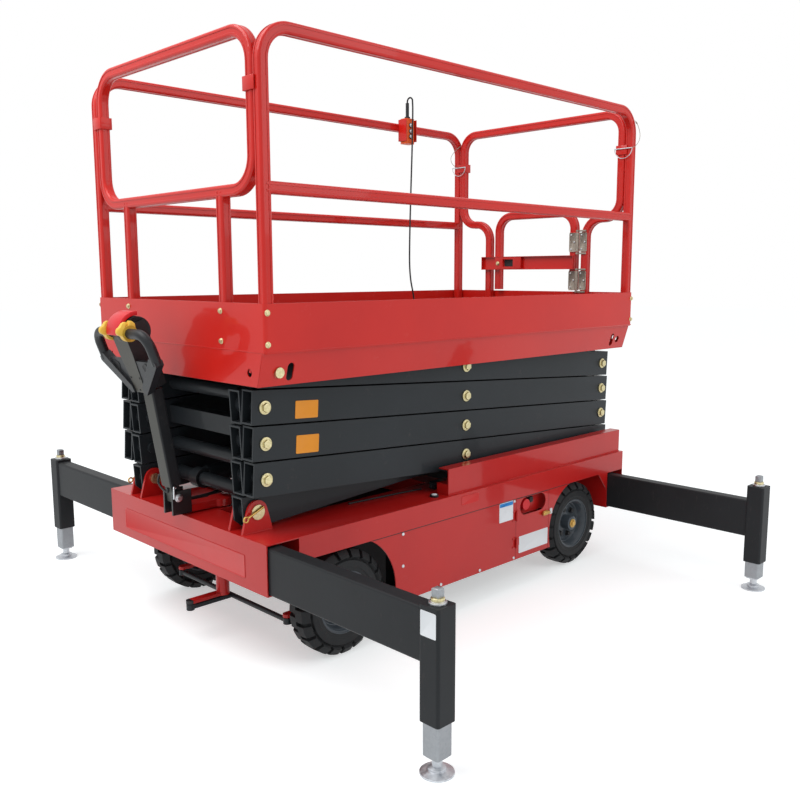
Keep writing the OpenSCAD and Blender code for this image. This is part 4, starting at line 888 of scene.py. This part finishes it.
# latch box and hinge leaves of the gate
gateSizes = {"web": -1005, "post": -1008, "plate": (-149, 1381.5), "size": (170, 60), "deep": 16.6, "frame": 11,
             "pocket": 14, "window": (62, 34), "boltAt": (-214, 1380), "bolt": (11, 1.6, 8, 5), "screw": (5, 3),
             "screwRows": [(-34, -9), (0, 9), (34, -9)],
             "leaf": (41, 91), "gateY": 240, "postY": 297, "rows": (1293.5, 1477.5), "barrel": (-1001, 267.5, 8.3)}


def gateFittings():
    g = gateSizes
    plate = startBox((g["size"][0], g["deep"], g["size"][1]), (0, g["deep"] / 2, 0))
    pickFront(plate)
    stepIn(g["frame"])
    bpy.ops.transform.resize(value=(0.45, 1, 1))
    pullOut((0, -g["pocket"], 0))
    roundEdges(plate, 1.2, 2)
    y, z = g["plate"]
    plate.data.transform(facing(at(g["web"], y, z), (1, 0, 0)))
    done(plate, "latchBox", "gate_leaf", "redPaint")
    bolt = hexBolt(*g["bolt"])
    y, z = g["boltAt"]
    done(spread(bolt, [facing(at(g["web"] + g["deep"], y, z), (1, 0, 0))]), "latchBolt", "gate_leaf", "zincYellow")
    screw = domeScrew(*g["screw"])
    leaf = blankPlate(*g["leaf"], 2.8, 5, 1.5)
    for name, body, x, y in (("gateLeaves", "gate_leaf", g["web"], g["gateY"]),
                             ("postLeaves", "platform", g["post"], g["postY"])):
        spots = [facing(at(x, y, z), (1, 0, 0)) for z in g["rows"]]
        done(spread(leaf, spots), name, body, "hingeSteel")
        dots = [facing(at(x + 2, y + across, z + up), (1, 0, 0)) for z in g["rows"] for up, across in g["screwRows"]]
        done(spread(screw, dots), name + "Screws", body, "zincWhite")
    # black plate at the bottom of the latch pocket: painted shade of the window opening
    window = blankPlate(*g["window"], 1.2, 5, 2)
    y, z = g["plate"]
    window.data.transform(facing(at(g["web"] + g["deep"] - g["pocket"], y, z), (1, 0, 0)))
    done(window, "latchWindowShade", "gate_leaf", "cordBlack")
    x, y, radius = g["barrel"]
    barrel = startDisc(20, radius, g["leaf"][1], axis="Z")
    pickFaces(barrel, lambda middle, normal: abs(normal.z) > 0.9)
    stepIn(2, 0.6)
    letGo()
    spots = [Matrix.Translation(at(x, y, z)) for z in g["rows"]]
    done(spread(barrel, spots), "hingeBarrels", "gate_leaf", "hingeSteel")
    drop(bolt, screw, leaf, barrel)


gateFittings()
print("gate fittings in")

# push buttons of the pendant
pendantSizes = {"x": -585, "face": -456.7, "rows": (2062, 2034, 2008), "radius": 10}


def pendantButtons():
    collar = startDisc(24, pendantSizes["radius"] + 2, 2, (0, 1, 0))
    pickFront(collar)
    stepIn(2, 0.6)
    roundEdges(collar, 0.4, 1)
    cap = domeScrew(pendantSizes["radius"] - 1.5, 5)
    places = [facing(at(pendantSizes["x"], pendantSizes["face"], z), (0, 1, 0)) for z in pendantSizes["rows"]]
    done(spread(collar, places), "buttonCollars", "platform", "gripBlack")
    lifted = [place @ Matrix.Translation((0, 0.0018, 0)) for place in places]
    done(spread(cap, lifted), "buttonCaps", "platform", "plateWhite")
    drop(collar, cap)


pendantButtons()
print("pendant buttons in")

# tiller: red cap and drum on the head, thumb wheels, black plates as painted shade in the web slots, fork pin, hook and
# cable
tillerSizes = {"head": (1134.33, 939.63), "lean": 20.4, "pivot": (1069, 545), "bulb": (-5, 213),
               "capIn": 53, "capOut": 67, "capHalf": 44, "capFrom": 10, "capTurn": 102, "drum": (50, 44),
               "thumb": (34, 222), "thumbRadius": 27, "thumbY": (48, 72), "wings": (35, 128),
               "wingSteps": [(6, 0.92), (8, 0.9), (5, 0.72)], "slot": (41.2, 104, 92), "slotTurn": 24,
               "slotShadePlate": (34, 52, 1.6, 7, 2), "screw": (4, 2), "screwX": 43,
               "screws": [(30, 60), (-30, 60), (0, 14)], "pin": (15, 2.5, 11, 6), "pinY": 32,
               "cableWire": 4, "hookWire": 3.5,
               "cable": [(1086, -40, 600), (1090, -57, 619), (1090, -69, 589), (1090, -43, 570), (1090, -8, 563),
                         (1094, 4, 580)],
               "hook": [(1097, 50, 549), (1097, 50, 576), (1094, 46, 588), (1088, 40, 590), (1082, 36, 584)]}


def headPlace(x, y, z):  # millimetres in the leaning head's own frame
    t = tillerSizes
    lean = Matrix.Rotation(math.radians(t["lean"]), 4, "Y")
    return Matrix.Translation(at(t["head"][0], 0, t["head"][1])) @ lean @ Matrix.Translation(Vector((x, y, z)) / 1000)


def tillerCap():
    t = tillerSizes
    cap = startBox((t["capOut"] - t["capIn"], 2 * t["capHalf"], 2), ((t["capOut"] + t["capIn"]) / 2, 0, 0))
    pickFaces(cap, lambda middle, normal: normal.z > 0.9)
    bpy.ops.mesh.spin(steps=14, angle=math.radians(t["capTurn"]), center=(0, 0, 0), axis=(0, 1, 0))
    turnOut()
    roundEdges(cap, 4, 3, 50)
    turn = Matrix.Rotation(math.radians(-t["capFrom"]), 4, "Y")
    cap.data.transform(headPlace(t["bulb"][0], 0, t["bulb"][1]) @ turn)
    done(cap, "headCap", "tiller", "switchRed", 50)
    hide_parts("tiller_cap")
    radius, half = t["drum"]
    drum = startDisc(48, radius, 2 * half)
    pickFaces(drum, lambda middle, normal: abs(normal.y) > 0.9)
    stepIn(4)
    stepIn(3, -2)
    roundEdges(drum, 1.5, 3, 50)
    drum.data.transform(headPlace(t["bulb"][0], 0, t["bulb"][1]))
    done(drum, "headDrum", "tiller", "headBlack", 40)


def thumbWheels():
    t = tillerSizes
    low, high = t["thumbY"]
    hub = startDisc(32, t["thumbRadius"], high - low, (0, (low + high) / 2, 0))
    for wing in t["wings"]:
        out = Vector((math.cos(math.radians(wing)), 0, math.sin(math.radians(wing))))
        pickFaces(hub, lambda middle, normal: normal.dot(out) > 0.86 and abs(normal.y) < 0.1)
        for reach, scale in t["wingSteps"]:
            pullOut(out * reach)
            bpy.ops.transform.resize(value=(scale, scale * 0.96, scale))
    pickFaces(hub, lambda middle, normal: normal.y > 0.9 and middle.xz.length < 8)
    stepIn(4, -3)
    roundEdges(hub, 2, 3, 40)
    other = spread(hub, [Matrix.Scale(-1, 4, (0, 1, 0))])
    pick(other)
    bpy.ops.object.mode_set(mode="EDIT")
    turnOut()
    both = joined(other, hub)
    both.data.transform(headPlace(t["thumb"][0], 0, t["thumb"][1]))
    done(both, "thumbWheels", "tiller", "throttleYellow", 50)
    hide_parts("tiller_throttles")


def tillerTrim():
    t = tillerSizes
    # black plates set in the web slots: painted shade of the recesses
    slot = blankPlate(*t["slotShadePlate"])
    x, y, z = t["slot"]
    ahead = facing((0, 0, 0), (1, 0, 0))
    places = [headPlace(x, side * y, z) @ ahead @ Matrix.Rotation(math.radians(side * t["slotTurn"]), 4, "Y")
              for side in (1, -1)]
    done(spread(slot, places), "webSlotShade", "tiller", "cordBlack")
    screw = domeScrew(*t["screw"])
    spots = [headPlace(t["screwX"], y, z) @ ahead for y, z in t["screws"]]
    done(spread(screw, spots), "headScrews", "tiller", "cordBlack")
    pin = hexBolt(*t["pin"])
    x, z = t["pivot"]
    spots = [facing(at(x, side * t["pinY"], z), (0, side, 0)) for side in (1, -1)]
    done(spread(pin, spots), "forkPin", "steering", "zincWhite")
    drop(slot, screw, pin)
    hook = wireAlong(smoothLine([at(*p) for p in t["hook"]]), t["hookWire"])
    done(hook, "forkHook", "steering", "brightSteel", 60)
    cable = wireAlong(smoothLine([at(*p) for p in t["cable"]]), t["cableWire"])
    done(cable, "tillerCable", "tiller", "cordBlack", 60)


tillerCap()
thumbWheels()
tillerTrim()
print("tiller trim in")

# covers of the jack screws: square head, washer and zinc ring
jackSizes = {"fl": (1014, 1234, 476), "fr": (952, -1234, 476), "rl": (-952, 1234, 446), "rr": (-1014, -1234, 446)}
jackTop = {"washer": (25, 7.4), "ring": (19, 9, 12.5), "head": ((24, 26, 24), 29)}


def jackScrews():
    radius, thick = jackTop["washer"]
    washer = startDisc(32, radius, thick, (0, thick / 2, 0))
    pickFront(washer)
    stepIn(6)
    pullOut((0, 1.4, 0))
    roundEdges(washer, 0.8)
    radius, thick, middle = jackTop["ring"]
    ring = startDisc(28, radius, thick, (0, middle, 0))
    pickFront(ring)
    stepIn(3, 1.2)
    roundEdges(ring, 0.8)
    size, middle = jackTop["head"]
    head = startBox(size, (0, middle, 0))
    pickFront(head)
    stepIn(4, 2.4)
    roundEdges(head, 0.9)
    for name, (x, y, z) in jackSizes.items():
        spot = facing(at(x, y, z), (0, 0, 1))
        done(spread(washer, [spot]), "jackWasher_" + name, "leg_" + name, "zincWhite")
        done(spread(ring, [spot]), "jackRing_" + name, "leg_" + name, "zincYellow")
        done(spread(head, [spot]), "jackHead_" + name, "leg_" + name, "galvanised")
    drop(washer, ring, head)


jackScrews()
print("jack screws in")

# barrel lock over the door's rear seam
lockSizes = {"barrel": (-432, 531, 292), "long": 46, "radius": 7, "saddle": (30, 8, 20),
             "hasp": (-475, 523, 292), "haspPlate": (18, 26, 3, 4, 3)}


def doorLock():
    barrel = startDisc(24, lockSizes["radius"], lockSizes["long"], axis="X")
    pickFaces(barrel, lambda middle, normal: abs(normal.x) > 0.9)
    stepIn(2.5, 1)
    roundEdges(barrel, 0.8)
    saddle = startBox(lockSizes["saddle"], (0, -lockSizes["saddle"][1] / 2, 0))
    pickFaces(saddle, lambda middle, normal: normal.y < -0.9)
    stepIn(1.5)
    roundEdges(saddle, 1.5)
    lock = joined(saddle, barrel)
    lock.data.transform(Matrix.Translation(at(*lockSizes["barrel"])))
    done(lock, "doorLock", "door", "brass")
    hasp = blankPlate(*lockSizes["haspPlate"])
    hasp.data.transform(facing(at(*lockSizes["hasp"]), (0, 1, 0)))
    done(hasp, "lockHasp", "chassis", "zincWhite")


doorLock()
print("door lock in")

# switch block behind the door's slot, black strips along the panel tops as a painted shadow line of the seam under the
# rails, and red strips along the fold of the toe boards
slotSizes = {"plate": (-381, 484, 346), "size": (238, 88), "block": (-359, 495, 362), "blockSize": (24, 18, 26)}
seams = {"panel": [(-606, -462), (-226, 592)], "door": (-456, -230), "panelZ": 391.5, "panelFace": 522.6,
         "panelStrip": (3, 1), "foldStrip": (3.4, 1.4),
         "foldZ": 1089, "foldHalf": (1046, 543), "foldFace": (1049.6, 547.6)}


def strip(length, tall, deep):  # along x, its back on the origin and facing +Y
    piece = startBox((length, deep, tall), (0, deep / 2, 0))
    pickFront(piece)
    stepIn(tall * 0.2, deep * 0.3)
    letGo()
    return piece


def slotAndSeams():
    backing = blankPlate(*slotSizes["size"], 2, 6, 2)
    backing.data.transform(facing(at(*slotSizes["plate"]), (0, 1, 0)))
    done(backing, "switchPlate", "chassis", "chassisRed")
    block = startBox(slotSizes["blockSize"])
    pickFront(block)
    stepIn(4, 2)
    roundEdges(block, 2.5, 3)
    block.data.transform(Matrix.Translation(at(*slotSizes["block"])))
    done(block, "switchBlock", "chassis", "cordBlack")
    s = seams
    made = []
    # black strips: painted shadow of the seam between rail and panel
    for low, high in s["panel"]:
        for side in (1, -1):
            made.append(strip(high - low, *s["panelStrip"]))
            made[-1].data.transform(facing(at((low + high) / 2, side * s["panelFace"], s["panelZ"]), (0, side, 0)))
    done(joined(*made), "panelSeamShadow", "chassis", "cordBlack")
    # black strip on the door: painted shadow of the same seam
    low, high = s["door"]
    over = strip(high - low, *s["panelStrip"])
    over.data.transform(facing(at((low + high) / 2, s["panelFace"], s["panelZ"] - 1), (0, 1, 0)))
    done(over, "doorSeamShadow", "door", "cordBlack")
    made = []
    for sign in (1, -1):
        made.append(strip(2 * s["foldHalf"][0], *s["foldStrip"]))
        made[-1].data.transform(facing(at(0, sign * s["foldFace"][1], s["foldZ"]), (0, sign, 0)))
        made.append(strip(2 * s["foldHalf"][1], *s["foldStrip"]))
        made[-1].data.transform(facing(at(sign * s["foldFace"][0], 0, s["foldZ"]), (sign, 0, 0)))
    done(joined(*made), "toeFold", "platform", "redPaint")


slotAndSeams()
print("slot and seams in")
